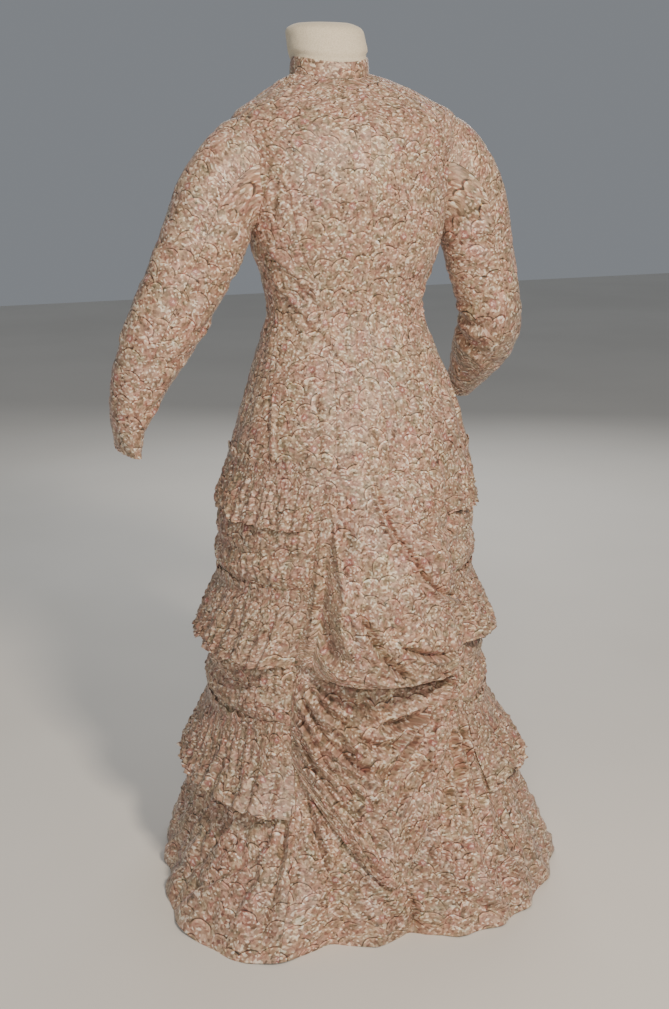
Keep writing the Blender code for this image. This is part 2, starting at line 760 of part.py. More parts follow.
def make_flounce(flounce, cotton):
    """Make a gathered flounce as a waved strip round the front and the sides."""
    count = WAVES * STEPS_PER_WAVE
    levels = ((flounce.heading, HEADING_STAND, HEADING_WAVE), (flounce.gather, OVER, 0.0),
              (flounce.bottom, flounce.flare, flounce.wave))

    def point(step, level):
        share = step / count
        height, stand, wave = levels[level]
        start = drape_edge(1, height) + FLOUNCE_SETBACK
        end = 360 - drape_edge(-1, height) - FLOUNCE_SETBACK
        angle = start + (end - start) * share
        uneven = 1 + 0.3 * math.sin(11.3 * share + 2.1) * math.sin(29.0 * share)
        ease = min(1.0, share / FLOUNCE_EASE + 0.08, (1 - share) / FLOUNCE_EASE + 0.08)
        stand = OVER + (stand - OVER) * ease
        swing = wave * uneven * ease * math.sin(2 * math.pi * step / STEPS_PER_WAVE)
        sag = FLOUNCE_SAG * math.sin(17.0 * share) * (level == 2)
        return lifted(angle, height - sag, stand + swing)

    def normal(step, level):
        before, after = max(level - 1, 0), min(level + 1, len(levels) - 1)
        sideways = point(step + 1, level) - point(step - 1, level)
        along = point(step, after) - point(step, before)
        value = np.cross(sideways, along)
        value /= np.linalg.norm(value)
        return value if value.dot(point(step, level) * (1, 1, 0)) > 0 else -value

    outer = [[point(step, level) for step in range(count + 1)] for level in range(3)]
    normals = [[normal(step, level) for step in range(count + 1)] for level in range(3)]
    cloth_piece(flounce.name, outer, normals, cotton)


def ridge(folds, across, down):
    """How far a table of folds lifts a draped piece at one place."""
    here, rise = np.array([across, down]), 0.0
    for fold in folds:
        start = np.array([fold.across_from, fold.down_from])
        line = np.array([fold.across_to, fold.down_to]) - start
        share = min(max((here - start).dot(line) / line.dot(line), 0.0), 1.0)
        away = np.linalg.norm(here - start - share * line) / fold.half_width
        rise += fold.rise * math.exp(-away * away)
    return rise


def pouf_point(across, down):
    """A point of the pouf's inner side: across from -1 (right) to 1 (left), down from 0 to 1."""
    down = min(max(down, 0.0), 1.0)
    held = min(abs(across) / (0.80 if across > 0 else 0.96), 1.0)
    free = 1 - held ** 2.8
    middle_height = read_table(POUF_PROFILE, 1, down)
    edge_height = read_table(POUF_PROFILE, 2, down)
    tuck = read_table(POUF_PROFILE, 4, down) * free ** 2
    height = edge_height + (middle_height - edge_height) * free ** 0.6 + tuck
    stand = read_table(POUF_PROFILE, 3, down) - 0.4 * tuck
    angle = across * (drape_edge(across, height) + 1.0)
    edge = min(1.0, (1 - min(abs(across), 1.0)) / 0.12)
    raised = stand * free + ridge(POUF_FOLDS, across, down) * edge * down ** 0.5
    return lifted(angle, height, POUF_SEAT + max(raised, 0.0))


def swag_point(across, down):
    """A point of the swag's inner side: across from -1 (right) to 1 (left), down from 0 to 1."""
    down = min(max(down, 0.0), 1.0)
    top = read_table(SWAG_EDGES, 1, across)
    bottom = read_table(SWAG_EDGES, 2, across)
    height = top + (bottom - top) * down
    narrow = 0.86 + 0.14 * min(1.0, down / 0.25)
    angle = across * (drape_edge(across, height) + 1.0) * narrow
    free = max(0.0, 1 - abs(across) ** 3)
    belly = 0.034 * math.sin(math.pi * down ** 1.2) ** 0.8
    folds = 0.009 * math.sin(2 * math.pi * (3.4 * down + 0.35 * across ** 2)) * min(down * 4, 1)
    raised = belly * free + max(folds, -0.6 * belly) * free + 0.006 * free * down
    return lifted(angle, height, SWAG_SEAT + fold_height(angle, height) + max(raised, 0.0))


def make_drapery(cotton):
    """Make the pouf and the swag that lie on the back of the skirt."""
    def pouf_columns(down):
        return between(-1.0, 1.0, 18)

    def swag_columns(down):
        return between(-1.0, 1.0, 16)

    piece_on("drape_pouf", pouf_point, pouf_columns, between(0.0, 1.0, 16), cotton)
    piece_on("drape_swag", swag_point, swag_columns, between(0.0, 1.0, 13), cotton)


def ring_solid(name, rings, material):
    """Make a closed solid from rings of points, with a flat face at each end."""
    count = len(rings[0])
    points = [point for ring in rings for point in ring]
    faces = []
    for level in range(len(rings) - 1):
        for i in range(count):
            after = (i + 1) % count
            low, high = level * count, (level + 1) * count
            faces.append((low + i, low + after, high + after, high + i))
    faces.append(tuple(range(count))[::-1])
    faces.append(tuple(range((len(rings) - 1) * count, len(rings) * count)))
    item = add_object(name, points, faces, material)
    face_outwards(item)
    return item


def round_ring(radius, height, count):
    """A level circle of points round the post."""
    turns = [2 * math.pi * i / count for i in range(count)]
    return [np.array([radius * math.cos(t), radius * math.sin(t), height]) for t in turns]


def make_form(cover, metal):
    """Make the limbless dress form: its torso with a neck, its post and its foot."""
    turns = [-180 + 360 * i / NECK_SIDES for i in range(NECK_SIDES)]
    rings = [[lifted(turn, height, -FORM_CLEAR) for turn in turns] for height in FORM_HEIGHTS]
    for point in rings[0]:
        point[2] = FORM_END
    for up, inset in FORM_NECK:
        rings.append([neck_point(turn, up, inset) for turn in turns])
    ring_solid("form_torso", rings, cover)
    post = [round_ring(POST_RADIUS, height, POST_SIDES)
            for height in (FOOT_THICKNESS + SEAM_GAP, FORM_END - SEAM_GAP)]
    ring_solid("form_post", post, metal)
    foot = [round_ring(FOOT_RADIUS, 0.0, FOOT_SIDES),
            round_ring(FOOT_RADIUS, FOOT_EDGE_HEIGHT, FOOT_SIDES),
            round_ring(FOOT_RADIUS - FOOT_EDGE_INSET, FOOT_THICKNESS, FOOT_SIDES)]
    ring_solid("form_foot", foot, metal)


def make_buttons(shell):
    """Make the row of buttons down the front, seated on the right front panel."""
    for number in range(BUTTON_COUNT):
        share = number / (BUTTON_COUNT - 1)
        height = BUTTON_TOP + (BUTTON_BOTTOM - BUTTON_TOP) * share
        half_width = read_table(SECTIONS, 1, height)
        across = (-180 + math.degrees(BUTTON_SETBACK / half_width)) / TURN
        low = max(row for row in BODICE_HEIGHTS if row <= height)
        high = min(row for row in BODICE_HEIGHTS if row > height)
        low_point, high_point = plain_surface(across, low), plain_surface(across, high)
        seat = low_point + (high_point - low_point) * (height - low) / (high - low)
        normal = np.cross((1.0, 0.0, 0.0), high_point - low_point)
        normal /= np.linalg.norm(normal)
        side = np.cross(normal, (0.0, 0.0, 1.0))
        side /= np.linalg.norm(side)
        up = np.cross(side, normal)
        rings = []
        for share_out, rise in BUTTON_PROFILE:
            radius = BUTTON_RADIUS * share_out
            ring = [seat + normal * rise + radius * (side * math.cos(t) + up * math.sin(t))
                    for t in np.linspace(0, 2 * math.pi, BUTTON_SIDES, endpoint=False)]
            rings.append(ring)
        ring_solid(f"button_{number + 1:02d}", rings, shell)


def main():
    """Build the dress and its form."""
    clear_scene()
    cotton = make_material("printed_cotton", PRINTED_COTTON)
    shaded = make_material("shirred_cotton", SHADED_COTTON)
    cover = make_material("form_cover", FORM_COVER)
    metal = make_material("painted_metal", PAINTED_METAL)
    shell = make_material("shell_button", SHELL_BUTTON)
    make_form(cover, metal)
    make_bodice(cotton)
    make_collar(cotton)
    make_sleeve("left", 1, LEFT_SLEEVE, cotton)
    make_sleeve("right", -1, RIGHT_SLEEVE, cotton)
    make_skirt(cotton)
    for flounce in FLOUNCES:
        make_flounce(flounce, shaded)
    make_drapery(cotton)
    make_buttons(shell)


main()
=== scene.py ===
"""The looks of a trained bustle dress of printed cotton on a limbless dress form.

Every piece of cloth is a thin shell on the form of its solid, with its folds placed one by one.
Lengths are in metres, +Z is up, the front faces -Y and the wearer's left is +X. Angles go round
the dress from the middle of the back (0 degrees) through the wearer's left (90).
"""
import logging
import math
from dataclasses import dataclass
from enum import Enum
from typing import Callable, Sequence

import bpy
import numpy as np
from mathutils import Matrix, Vector


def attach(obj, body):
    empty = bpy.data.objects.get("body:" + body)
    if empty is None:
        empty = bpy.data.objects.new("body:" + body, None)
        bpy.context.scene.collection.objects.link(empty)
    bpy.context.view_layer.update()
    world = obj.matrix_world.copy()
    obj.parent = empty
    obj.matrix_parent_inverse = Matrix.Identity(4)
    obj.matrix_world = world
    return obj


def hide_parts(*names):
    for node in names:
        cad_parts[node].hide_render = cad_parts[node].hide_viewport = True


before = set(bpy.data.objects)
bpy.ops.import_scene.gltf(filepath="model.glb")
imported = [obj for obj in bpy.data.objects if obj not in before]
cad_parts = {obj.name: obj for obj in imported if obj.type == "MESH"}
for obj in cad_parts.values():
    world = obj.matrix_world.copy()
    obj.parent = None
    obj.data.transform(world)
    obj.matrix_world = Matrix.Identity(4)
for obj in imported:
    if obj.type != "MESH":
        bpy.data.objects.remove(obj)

LOG = logging.getLogger("bustle_dress")
ROOT = "root"

# The cloth as a wall in the solids and as a shell here, and the gap between two sewn pieces
CLOTH = 0.0015
SHELL = 0.0008
SEAM_GAP = 0.0003
# How far a flounce's sewn line stands over the skirt
OVER = 0.0020
# Under 1, a section is fuller than an ellipse
ROUNDNESS = 0.94
# About one degree of the skirt's girth, and the cell of a noise that closes on itself round it
METRES_PER_DEGREE = 0.0037
LATTICE = 64
ROUND_CELL = 360 * METRES_PER_DEGREE / LATTICE
# Faces that meet at less than this are shaded as one
SMOOTH_UNDER = math.radians(75)


class Side(Enum):
    """A side of the wearer, as the sign of X."""
    LEFT = 1
    RIGHT = -1


class Winding(Enum):
    """Which way round a cloth grid's faces are laid, as the sign that points them outwards."""
    PLAIN = 1
    REVERSED = -1


class Grain(Enum):
    """How the print lies: along a panel's middle, down a falling piece, or over its gathers."""
    MIDDLE = "middle"
    FALLING = "falling"
    GATHERED = "gathered"


class Hold(Enum):
    """How a sheet of cloth is held."""
    DRAPED = "draped"
    GATHERED = "gathered"
    STRETCHED = "stretched"


class Slot(Enum):
    """The record's material slots."""
    PRINT = "printed_cotton"
    SHIRRED = "shirred_cotton"
    FORM = "form_cover"
    BUTTON = "shell_button"


@dataclass(frozen=True)
class Curve:
    """A smooth curve through given points, which never overshoots between them."""
    places: tuple[float, ...]
    values: tuple[float, ...]

    def at(self, place: np.ndarray | float) -> np.ndarray:
        """Read the curve.

        Args:
            place: Where to read it, held within its ends.

        Returns:
            The values there.
        """
        xs, ys = np.array(self.places, float), np.array(self.values, float)
        place = np.clip(np.asarray(place, float), xs[0], xs[-1])
        gaps = np.diff(xs)
        steps = np.diff(ys) / gaps
        turns = steps[:-1] * steps[1:]
        sums = np.where(turns > 0, steps[:-1] + steps[1:], 1.0)
        slopes = np.concatenate([steps[:1], np.where(turns > 0, 2 * turns / sums, 0.0), steps[-1:]])
        i = np.clip(np.searchsorted(xs, place, side="right") - 1, 0, len(xs) - 2)
        t, gap = (place - xs[i]) / gaps[i], gaps[i]
        return ((1 + 2 * t) * (1 - t) ** 2 * ys[i] + t * (1 - t) ** 2 * gap * slopes[i]
                + t * t * (3 - 2 * t) * ys[i + 1] + t * t * (t - 1) * gap * slopes[i + 1])


def curve_of(*points: tuple[float, float]) -> Curve:
    """Make a curve from (place, value) pairs.

    Args:
        points: The pairs, in order of place.

    Returns:
        The curve through them.
    """
    places, values = zip(*points)
    return Curve(places, values)


@dataclass(frozen=True)
class SoftNoise:
    """Smooth, repeatable unevenness: a lattice of seeded values, blended between."""
    seed: int
    size: int = LATTICE

    def at(self, x: np.ndarray, y: np.ndarray) -> np.ndarray:
        """Read the noise.

        Args:
            x: Places across, one lattice cell to a unit.
            y: Places along, one lattice cell to a unit.

        Returns:
            Values from -1 to 1.
        """
        lattice = np.random.RandomState(self.seed).uniform(-1, 1, (self.size, self.size))
        i, j = np.floor(x).astype(int), np.floor(y).astype(int)
        s, t = x - i, y - j
        s, t = s * s * (3 - 2 * s), t * t * (3 - 2 * t)
        i, j, k, m = i % self.size, j % self.size, (i + 1) % self.size, (j + 1) % self.size
        low = lattice[i, j] * (1 - s) + lattice[k, j] * s
        high = lattice[i, m] * (1 - s) + lattice[k, m] * s
        return low * (1 - t) + high * t

    def creased(self, x: np.ndarray, y: np.ndarray) -> np.ndarray:
        """Crumple crisp cotton: uneven facets that meet in soft valleys.

        Args:
            x: Places across, about one facet to a unit.
            y: Places along, about one facet to a unit.

        Returns:
            Values from 0 in the valleys to 1 on the facets' tops.
        """
        x, y = np.broadcast_arrays(x, y)
        drift_x, drift_y = self.at(x * 0.7 + 11, y * 0.7), self.at(x * 0.7, y * 0.7 + 17)
        x, y = x + 0.45 * drift_x, y + 0.45 * drift_y
        source = np.random.RandomState(self.seed + 500)
        offset_x = source.uniform(0.05, 0.95, (self.size, self.size))
        offset_y = source.uniform(0.05, 0.95, (self.size, self.size))
        i, j = np.floor(x).astype(int), np.floor(y).astype(int)
        first, second = np.full(x.shape, 9.0), np.full(x.shape, 9.0)
        for di in (-1, 0, 1):
            for dj in (-1, 0, 1):
                k, m = (i + di) % self.size, (j + dj) % self.size
                away = np.hypot(i + di + offset_x[k, m] - x, j + dj + offset_y[k, m] - y)
                second = np.minimum(second, np.maximum(first, away))
                first = np.minimum(first, away)
        return np.clip((second - first) / 0.75, 0, 1) ** 0.75


@dataclass(frozen=True)
class Crumple:
    """A layer of crumples: its seed, a facet's width and length, its height and its start."""
    seed: int
    width: float
    length: float
    height: float
    start: tuple[float, float]

    def at(self, x: np.ndarray, y: np.ndarray) -> np.ndarray:
        """How far the layer lifts the cloth at places across and along, all in metres."""
        across, along = x / self.width + self.start[0], y / self.length + self.start[1]
        return SoftNoise(self.seed).creased(across, along) * self.height


def crumpled(layers: Sequence[Crumple], x: np.ndarray, y: np.ndarray) -> np.ndarray:
    """Add up layers of crumples.

    Args:
        layers: The layers.
        x: Places across, in metres.
        y: Places along, in metres.

    Returns:
        The lift in metres.
    """
    total = np.zeros(np.broadcast(x, y).shape)
    for layer in layers:
        total += layer.at(x, y)
    return total


@dataclass(frozen=True)
class Crease:
    """A crease placed along a line of points, in the units of its piece.

    rise is the height of the ridge, or the depth of the trough below zero. lip raises the cloth
    beside the line, to the right of its direction, as a tuck does.
    """
    line: tuple[tuple[float, float], ...]
    rise: float
    half_width: float
    lip: float = 0.0
    fade: float = 0.25

    def height(self, x: np.ndarray, y: np.ndarray) -> np.ndarray:
        """How far the crease lifts the cloth.

        Args:
            x: Places across, in metres.
            y: Places along, in metres.

        Returns:
            The lift in metres.
        """
        points = np.array(self.line, float)
        spans = np.diff(points, axis=0)
        lengths = np.hypot(spans[:, 0], spans[:, 1])
        total, before = lengths.sum(), 0.0
        nearest = np.full(x.shape, 1e9)
        signed, share = np.zeros(x.shape), np.zeros(x.shape)
        for start, span, length in zip(points, spans, lengths):
            dx, dy = x - start[0], y - start[1]
            t = np.clip((dx * span[0] + dy * span[1]) / length ** 2, 0, 1)
            away = np.hypot(dx - t * span[0], dy - t * span[1])
            closer = away < nearest
            nearest = np.where(closer, away, nearest)
            cross = (dx * span[1] - dy * span[0]) / length
            signed = np.where(closer, np.sign(cross) * away, signed)
            share = np.where(closer, (before + t * length) / total, share)
            before += length
        ends = np.clip(np.minimum(share, 1 - share) / self.fade + 0.05, 0, 1)
        main = np.exp(-(nearest / self.half_width) ** 1.35)
        beside = np.exp(-((signed - 1.9 * self.half_width) / (1.2 * self.half_width)) ** 2)
        return (self.rise * main + self.lip * beside) * np.sqrt(ends)


def lift_of(creases: Sequence[Crease], x: np.ndarray, y: np.ndarray,
            scale: tuple[float, float] = (1.0, 1.0)) -> np.ndarray:
    """Add up what a table of creases lifts.

    Args:
        creases: The creases, in the units of the piece.
        x: Places across, in those units.
        y: Places along, in those units.
        scale: Metres in one unit across and along.

    Returns:
        The lift in metres.
    """
    total = np.zeros(np.broadcast(x, y).shape)
    for crease in creases:
        line = tuple((a * scale[0], b * scale[1]) for a, b in crease.line)
        real = Crease(line, crease.rise, crease.half_width, crease.lip, crease.fade)
        total += real.height(x * scale[0], y * scale[1])
    return total


@dataclass(frozen=True)
class DressShape:
    """The dress's outer side before folds, from its sections and its hem."""
    half_width: Curve
    front: Curve
    back: Curve
    side: Curve
    middle: Curve
    hem: Curve
    neck_line: float = 1.423
    hem_spread_top: float = 0.30
    front_drop: float = 0.055
    back_drop: float = 0.010
    drop_from: float = 1.30

    def point(self, angle: np.ndarray, height: np.ndarray) -> np.ndarray:
        """Points of the surface.

        Args:
            angle: Degrees round the dress.
            height: Heights in metres.

        Returns:
            An array with X, Y and Z last.
        """
        angle, height = np.broadcast_arrays(np.asarray(angle, float), np.asarray(height, float))
        sine, cosine = np.sin(np.radians(angle)), np.cos(np.radians(angle))
        front, back, side = self.front.at(height), self.back.at(height), self.side.at(height)
        reach = np.where(cosine > 0, back - side, side - front)
        x = self.middle.at(height) + self.half_width.at(height) * fuller(sine)
        y = side + reach * fuller(cosine)
        drop = np.clip((height - self.drop_from) / (self.neck_line - self.drop_from), 0, None) ** 2
        z = height - drop * np.where(cosine < 0, self.front_drop, self.back_drop) * cosine ** 2
        spread = np.clip(1 - height / self.hem_spread_top, 0, 1) ** 2.1
        distance = self.hem.at((angle + 180) % 360 - 180)
        x = x * (1 - spread) + distance * sine * spread
        y = y * (1 - spread) + distance * cosine * spread
        return np.stack([x, y, z], axis=-1)

    def normal(self, angle: np.ndarray, height: np.ndarray) -> np.ndarray:
        """Unit vectors that point out of the surface.

        Args:
            angle: Degrees round the dress.
            height: Heights in metres.

        Returns:
            An array with X, Y and Z last.
        """
        turn, rise = 0.12, 0.002
        across = self.point(angle + turn, height) - self.point(angle - turn, height)
        along = self.point(angle, height + rise) - self.point(angle, height - rise)
        return unit(np.cross(along, across))

    def lifted(self, angle: np.ndarray, height: np.ndarray, lift: np.ndarray) -> np.ndarray:
        """Points at a distance outside the surface.

        Args:
            angle: Degrees round the dress.
            height: Heights in metres.
            lift: Distances in metres.

        Returns:
            An array with X, Y and Z last.
        """
        angle, height, lift = np.broadcast_arrays(angle, height, lift)
        return self.point(angle, height) + lift[..., None] * self.normal(angle, height)


def fuller(value: np.ndarray) -> np.ndarray:
    """Make a sine or cosine a little squarer, so that a section is fuller than an ellipse."""
    return np.sign(value) * np.abs(value) ** ROUNDNESS


def unit(vectors: np.ndarray) -> np.ndarray:
    """Bring vectors to the length of 1."""
    return vectors / np.maximum(np.linalg.norm(vectors, axis=-1, keepdims=True), 1e-12)


SECTION_HEIGHTS = (0.000, 0.150, 0.280, 0.400, 0.520, 0.640, 0.780, 0.850, 0.920, 0.985, 1.025,
                   1.060, 1.100, 1.150, 1.200, 1.260, 1.310, 1.345, 1.363, 1.381, 1.398, 1.412,
                   1.423)
SHAPE = DressShape(
    half_width=Curve(SECTION_HEIGHTS, (
        0.318, 0.288, 0.266, 0.248, 0.237, 0.228, 0.217, 0.200, 0.176, 0.151, 0.141, 0.147,
        0.161, 0.175, 0.180, 0.191, 0.204, 0.207, 0.193, 0.160, 0.128, 0.099, 0.070)),
    front=Curve(SECTION_HEIGHTS, (
        -0.270, -0.235, -0.212, -0.192, -0.176, -0.163, -0.146, -0.136, -0.125, -0.115, -0.110,
        -0.123, -0.143, -0.158, -0.160, -0.152, -0.145, -0.140, -0.138, -0.136, -0.134, -0.132,
        -0.130)),
    back=Curve(SECTION_HEIGHTS, (
        0.400, 0.345, 0.290, 0.252, 0.232, 0.220, 0.203, 0.180, 0.147, 0.112, 0.097, 0.096,
        0.102, 0.110, 0.115, 0.110, 0.096, 0.079, 0.063, 0.047, 0.029, 0.009, -0.008)),
    side=Curve(SECTION_HEIGHTS, (
        0.040, 0.040, 0.036, 0.030, 0.026, 0.023, 0.020, 0.018, 0.010, 0.002, 0.000, 0.000,
        0.000, 0.000, -0.002, -0.006, -0.016, -0.028, -0.038, -0.048, -0.057, -0.066, -0.072)),
    middle=Curve(SECTION_HEIGHTS, (
        0.000, 0.004, 0.010, 0.012, 0.012, 0.010, 0.002, 0.000, 0.000, 0.000, 0.000, 0.000,
        -0.003, -0.003, -0.002, 0.000, -0.006, -0.010, -0.013, -0.012, -0.008, -0.003, 0.003)),
    hem=curve_of((-180, 0.290), (-140, 0.310), (-105, 0.338), (-78, 0.366), (-53, 0.402),
                 (-33, 0.424), (-13, 0.442), (7, 0.412), (25, 0.432), (44, 0.503), (67, 0.432),
                 (85, 0.364), (105, 0.341), (140, 0.312), (180, 0.290)),
)
DRAPE_EDGES = {
    Side.LEFT: curve_of((0.000, 36), (0.150, 39), (0.300, 41), (0.420, 40), (0.530, 34),
                        (0.620, 31), (0.780, 27)),
    Side.RIGHT: curve_of((0.000, 30), (0.150, 31), (0.300, 32), (0.450, 31), (0.600, 30),
                         (0.780, 28)),
}
# The swag's lower edge, by place across from the right to the left
SWAG_BOTTOM = curve_of(
    (-1.00, 0.360), (-0.60, 0.300), (-0.30, 0.240), (0.00, 0.160), (0.26, 0.088),
    (0.60, 0.160), (1.00, 0.275))


def add_node(tree: bpy.types.NodeTree, kind: str, inputs: dict | None = None,
             **settings: object) -> bpy.types.Node:
    """Add a node with its settings, values and links.

    Args:
        tree: The node tree.
        kind: The node's type name.
        inputs: Socket name or index to a value, or to an output socket to link.
        settings: Attributes of the node.

    Returns:
        The node.
    """
    node = tree.nodes.new(kind)
    for name, value in settings.items():
        setattr(node, name, value)
    for key, value in (inputs or {}).items():
        if isinstance(value, bpy.types.NodeSocket):
            tree.links.new(value, node.inputs[key])
        else:
            node.inputs[key].default_value = value
    return node


def linear(code: str) -> tuple[float, float, float, float]:
    """Turn an sRGB hex colour to linear.

    Args:
        code: The colour, such as "A88C78".

    Returns:
        Red, green, blue and alpha.
    """
    parts = [int(code[i:i + 2], 16) / 255 for i in (0, 2, 4)]
    flat = [p / 12.92 if p <= 0.04045 else ((p + 0.055) / 1.055) ** 2.4 for p in parts]
    return (*flat, 1.0)


def fill_ramp(node: bpy.types.Node, stops: Sequence[tuple[float, str]]) -> None:
    """Set a colour ramp's stops.

    Args:
        node: The Color Ramp node.
        stops: Places from 0 to 1 and sRGB hex colours.
    """
    elements = node.color_ramp.elements
    while len(elements) > 1:
        elements.remove(elements[-1])
    for index, (place, code) in enumerate(stops):
        element = elements[0] if index == 0 else elements.new(place)
        element.position = place
        element.color = linear(code)


@dataclass(frozen=True)
class PrintedCotton:
    """Plain-woven cotton, roller-printed all over and lightly glazed.

    The print is small overlapping scallops with pale rims and thin dark outlines on a ground of
    cream, tan, sage and rose flecks, with a rosette every 80 mm or so. The eye sees a warm tan
    that breaks up into flecks, with small glints where the glaze catches the light, and the
    palest flecks are painted near white as glints.
    """
    name: str = "printed_cotton_cloth"
    scallop_mm: float = 30.0
    fan_mm: float = 17.0
    fleck_mm: float = 3.3
    blotch_mm: float = 7.5
    rosette_mm: float = 82.0
    thread_mm: float = 0.9
    roughness: float = 0.47
    shade: float = 1.0
    dye_share: float = 0.17
    fan_strength: float = 0.34
    # The print's fleck colours from dark to cream; the near-white top stop is painted glints on the
    # palest flecks.
    ground: tuple[tuple[float, str], ...] = (
        (0.00, "3E2C24"), (0.15, "755A48"), (0.36, "9A7C68"), (0.60, "B09480"), (0.80, "D4BAA2"),
        (0.92, "FFF6E6"),
    )
    tints: tuple[tuple[float, str], ...] = (
        (0.00, "735C4A"), (0.20, "8A846E"), (0.42, "AE8B7A"), (0.60, "A57468"), (0.80, "CEB49A"),
        (0.95, "866E5C"),
    )
    rim: tuple[tuple[float, str], ...] = (
        (0.0, "BCBCBC"), (0.30, "B0B0B0"), (0.36, "A4A4A4"), (0.40, "BEBEBE"), (0.48, "C8C8C8"),
        (0.54, "E6E6E6"), (0.585, "E0E0E0"), (0.60, "5C5C5C"), (0.645, "707070"),
        (0.67, "BCBCBC"),
    )
    dyes: tuple[tuple[float, str], ...] = (
        (0.00, "D2B0B0"), (0.22, "B2BEA4"), (0.44, "C4B496"), (0.66, "CFCAC2"), (0.84, "A89A94"),
    )
    # A rosette's petals and heart, and the spots beside it: place and radius in mm, and colour
    spots: tuple[tuple[tuple[float, float], float, str], ...] = (
        ((0.0, 0.0), 6.8, "9C625A"), ((0.0, 0.0), 2.8, "E8C8BC"), ((11.5, 3.0), 2.6, "3E261E"),
        ((17.0, -2.5), 2.1, "4A3026"), ((9.5, -12.0), 2.9, "4A3428"),
        ((-6.0, 12.0), 2.4, "A87468"),
    )

    def scallops(self, tree: bpy.types.NodeTree, place: bpy.types.NodeSocket, size: float,
                 shift: float, strength: float
                 ) -> tuple[bpy.types.NodeSocket, bpy.types.NodeSocket, bpy.types.NodeSocket]:
        """Add a layer of overlapping scallops, of which only the upper arcs are drawn.

        Args:
            tree: The material's tree.
            place: Places on the cloth in millimetres.
            size: A scallop's width in millimetres.
            shift: Moves the layer, so that two layers differ.
            strength: How strongly the arcs are drawn.

        Returns:
            The arcs in grey, how much of them to lay on, and each scallop's own dye.
        """
        cell = add_node(tree, "ShaderNodeVectorMath", {0: place, 1: (1 / size,) * 3,
                                                       2: (shift, 2 * shift, 0)},
                        operation="MULTIPLY_ADD")
        near = add_node(tree, "ShaderNodeTexVoronoi",
                        {"Vector": cell.outputs[0], "Scale": 1.0, "Randomness": 0.85},
                        voronoi_dimensions="2D")
        own = add_node(tree, "ShaderNodeSeparateColor", {0: near.outputs["Color"]})
        local = add_node(tree, "ShaderNodeVectorMath",
                         {0: cell.outputs[0], 1: near.outputs["Position"]}, operation="SUBTRACT")
        swing = add_node(tree, "ShaderNodeMath", {0: own.outputs[0], 1: 1.8, 2: -0.9},
                         operation="MULTIPLY_ADD")
        turned = add_node(tree, "ShaderNodeVectorRotate",
                          {"Vector": local.outputs[0], "Angle": swing.outputs[0]},
                          rotation_type="Z_AXIS")
        from_foot = add_node(tree, "ShaderNodeVectorMath",
                             {0: turned.outputs[0], 1: (0.0, 0.22, 0.0)}, operation="ADD")
        reach = add_node(tree, "ShaderNodeVectorMath", {0: from_foot.outputs[0]},
                         operation="LENGTH")
        ring = add_node(tree, "ShaderNodeValToRGB", {0: reach.outputs["Value"]})
        fill_ramp(ring, self.rim)
        sides = add_node(tree, "ShaderNodeSeparateXYZ", {0: from_foot.outputs[0]})
        upper = add_node(tree, "ShaderNodeMapRange",
                         {"Value": sides.outputs[1], "From Min": 0.10, "From Max": 0.38,
                          "To Min": 0.0, "To Max": strength})
        dye = add_node(tree, "ShaderNodeValToRGB", {0: own.outputs[1]})
        fill_ramp(dye, self.dyes)
        dye.color_ramp.interpolation = "CONSTANT"
        return ring.outputs[0], upper.outputs[0], dye.outputs[0]

    def spot(self, tree: bpy.types.NodeTree, local: bpy.types.NodeSocket,
             away: tuple[float, float], radius: float) -> bpy.types.NodeSocket:
        """Add a round printed spot beside each rosette.

        Args:
            tree: The material's tree.
            local: Places in millimetres from the rosette's middle.
            away: The spot's middle from there, in millimetres.
            radius: Its radius in millimetres.

        Returns:
            Near 1 in the spot and 0 outside it.
        """
        reach = add_node(tree, "ShaderNodeVectorMath", {0: local, 1: (*away, 0.0)},
                         operation="DISTANCE")
        edge = add_node(tree, "ShaderNodeMapRange",
                        {"Value": reach.outputs["Value"], "From Min": radius * 1.2,
                         "From Max": radius * 0.6, "To Min": 0.0, "To Max": 0.85})
        return edge.outputs[0]

    def build(self) -> bpy.types.Material:
        """Make the material.

        Returns:
            The material, which reads the piece's own cut as a UV map in metres.
        """
        material = bpy.data.materials.new(self.name)
        material.use_nodes = True
        tree = material.node_tree
        shader = tree.nodes["Principled BSDF"]
        cut = add_node(tree, "ShaderNodeUVMap", uv_map="cut")
        flat = add_node(tree, "ShaderNodeVectorMath", {0: cut.outputs[0], "Scale": 1000.0},
                        operation="SCALE")
        drift = add_node(tree, "ShaderNodeTexNoise",
                         {"Vector": flat.outputs[0], "Scale": 0.03, "Detail": 1.0},
                         noise_dimensions="2D")
        bent = add_node(tree, "ShaderNodeVectorMath",
                        {0: drift.outputs["Color"], 1: (6.0, 6.0, 0.0), 2: flat.outputs[0]},
                        operation="MULTIPLY_ADD")
        place = bent.outputs[0]
        ramps = []
        # The first ramp is the print's ground, whose near-white top stop is painted glints.
        for size, stops in ((self.fleck_mm, self.ground), (self.blotch_mm, self.tints)):
            dabs = add_node(tree, "ShaderNodeTexVoronoi",
                            {"Vector": place, "Scale": 1 / size, "Smoothness": 0.35},
                            voronoi_dimensions="2D", feature="SMOOTH_F1")
            level = add_node(tree, "ShaderNodeSeparateColor", {0: dabs.outputs["Color"]})
            shades = add_node(tree, "ShaderNodeValToRGB", {0: level.outputs[0]})
            fill_ramp(shades, stops)
            ramps.append(shades)
        ground, tint = ramps
        mixed = add_node(tree, "ShaderNodeMix", {0: 0.42, 6: ground.outputs[0],
                                                 7: tint.outputs[0]}, data_type="RGBA")
        colour = mixed.outputs[2]
        for size, shift, strength in ((self.fan_mm, 7.3, self.fan_strength),
                                      (self.scallop_mm, 0.0, 1.0)):
            arcs, share, dye = self.scallops(tree, place, size, shift, strength)
            dyed = add_node(tree, "ShaderNodeMix", {0: self.dye_share, 6: colour, 7: dye},
                            data_type="RGBA", blend_type="OVERLAY")
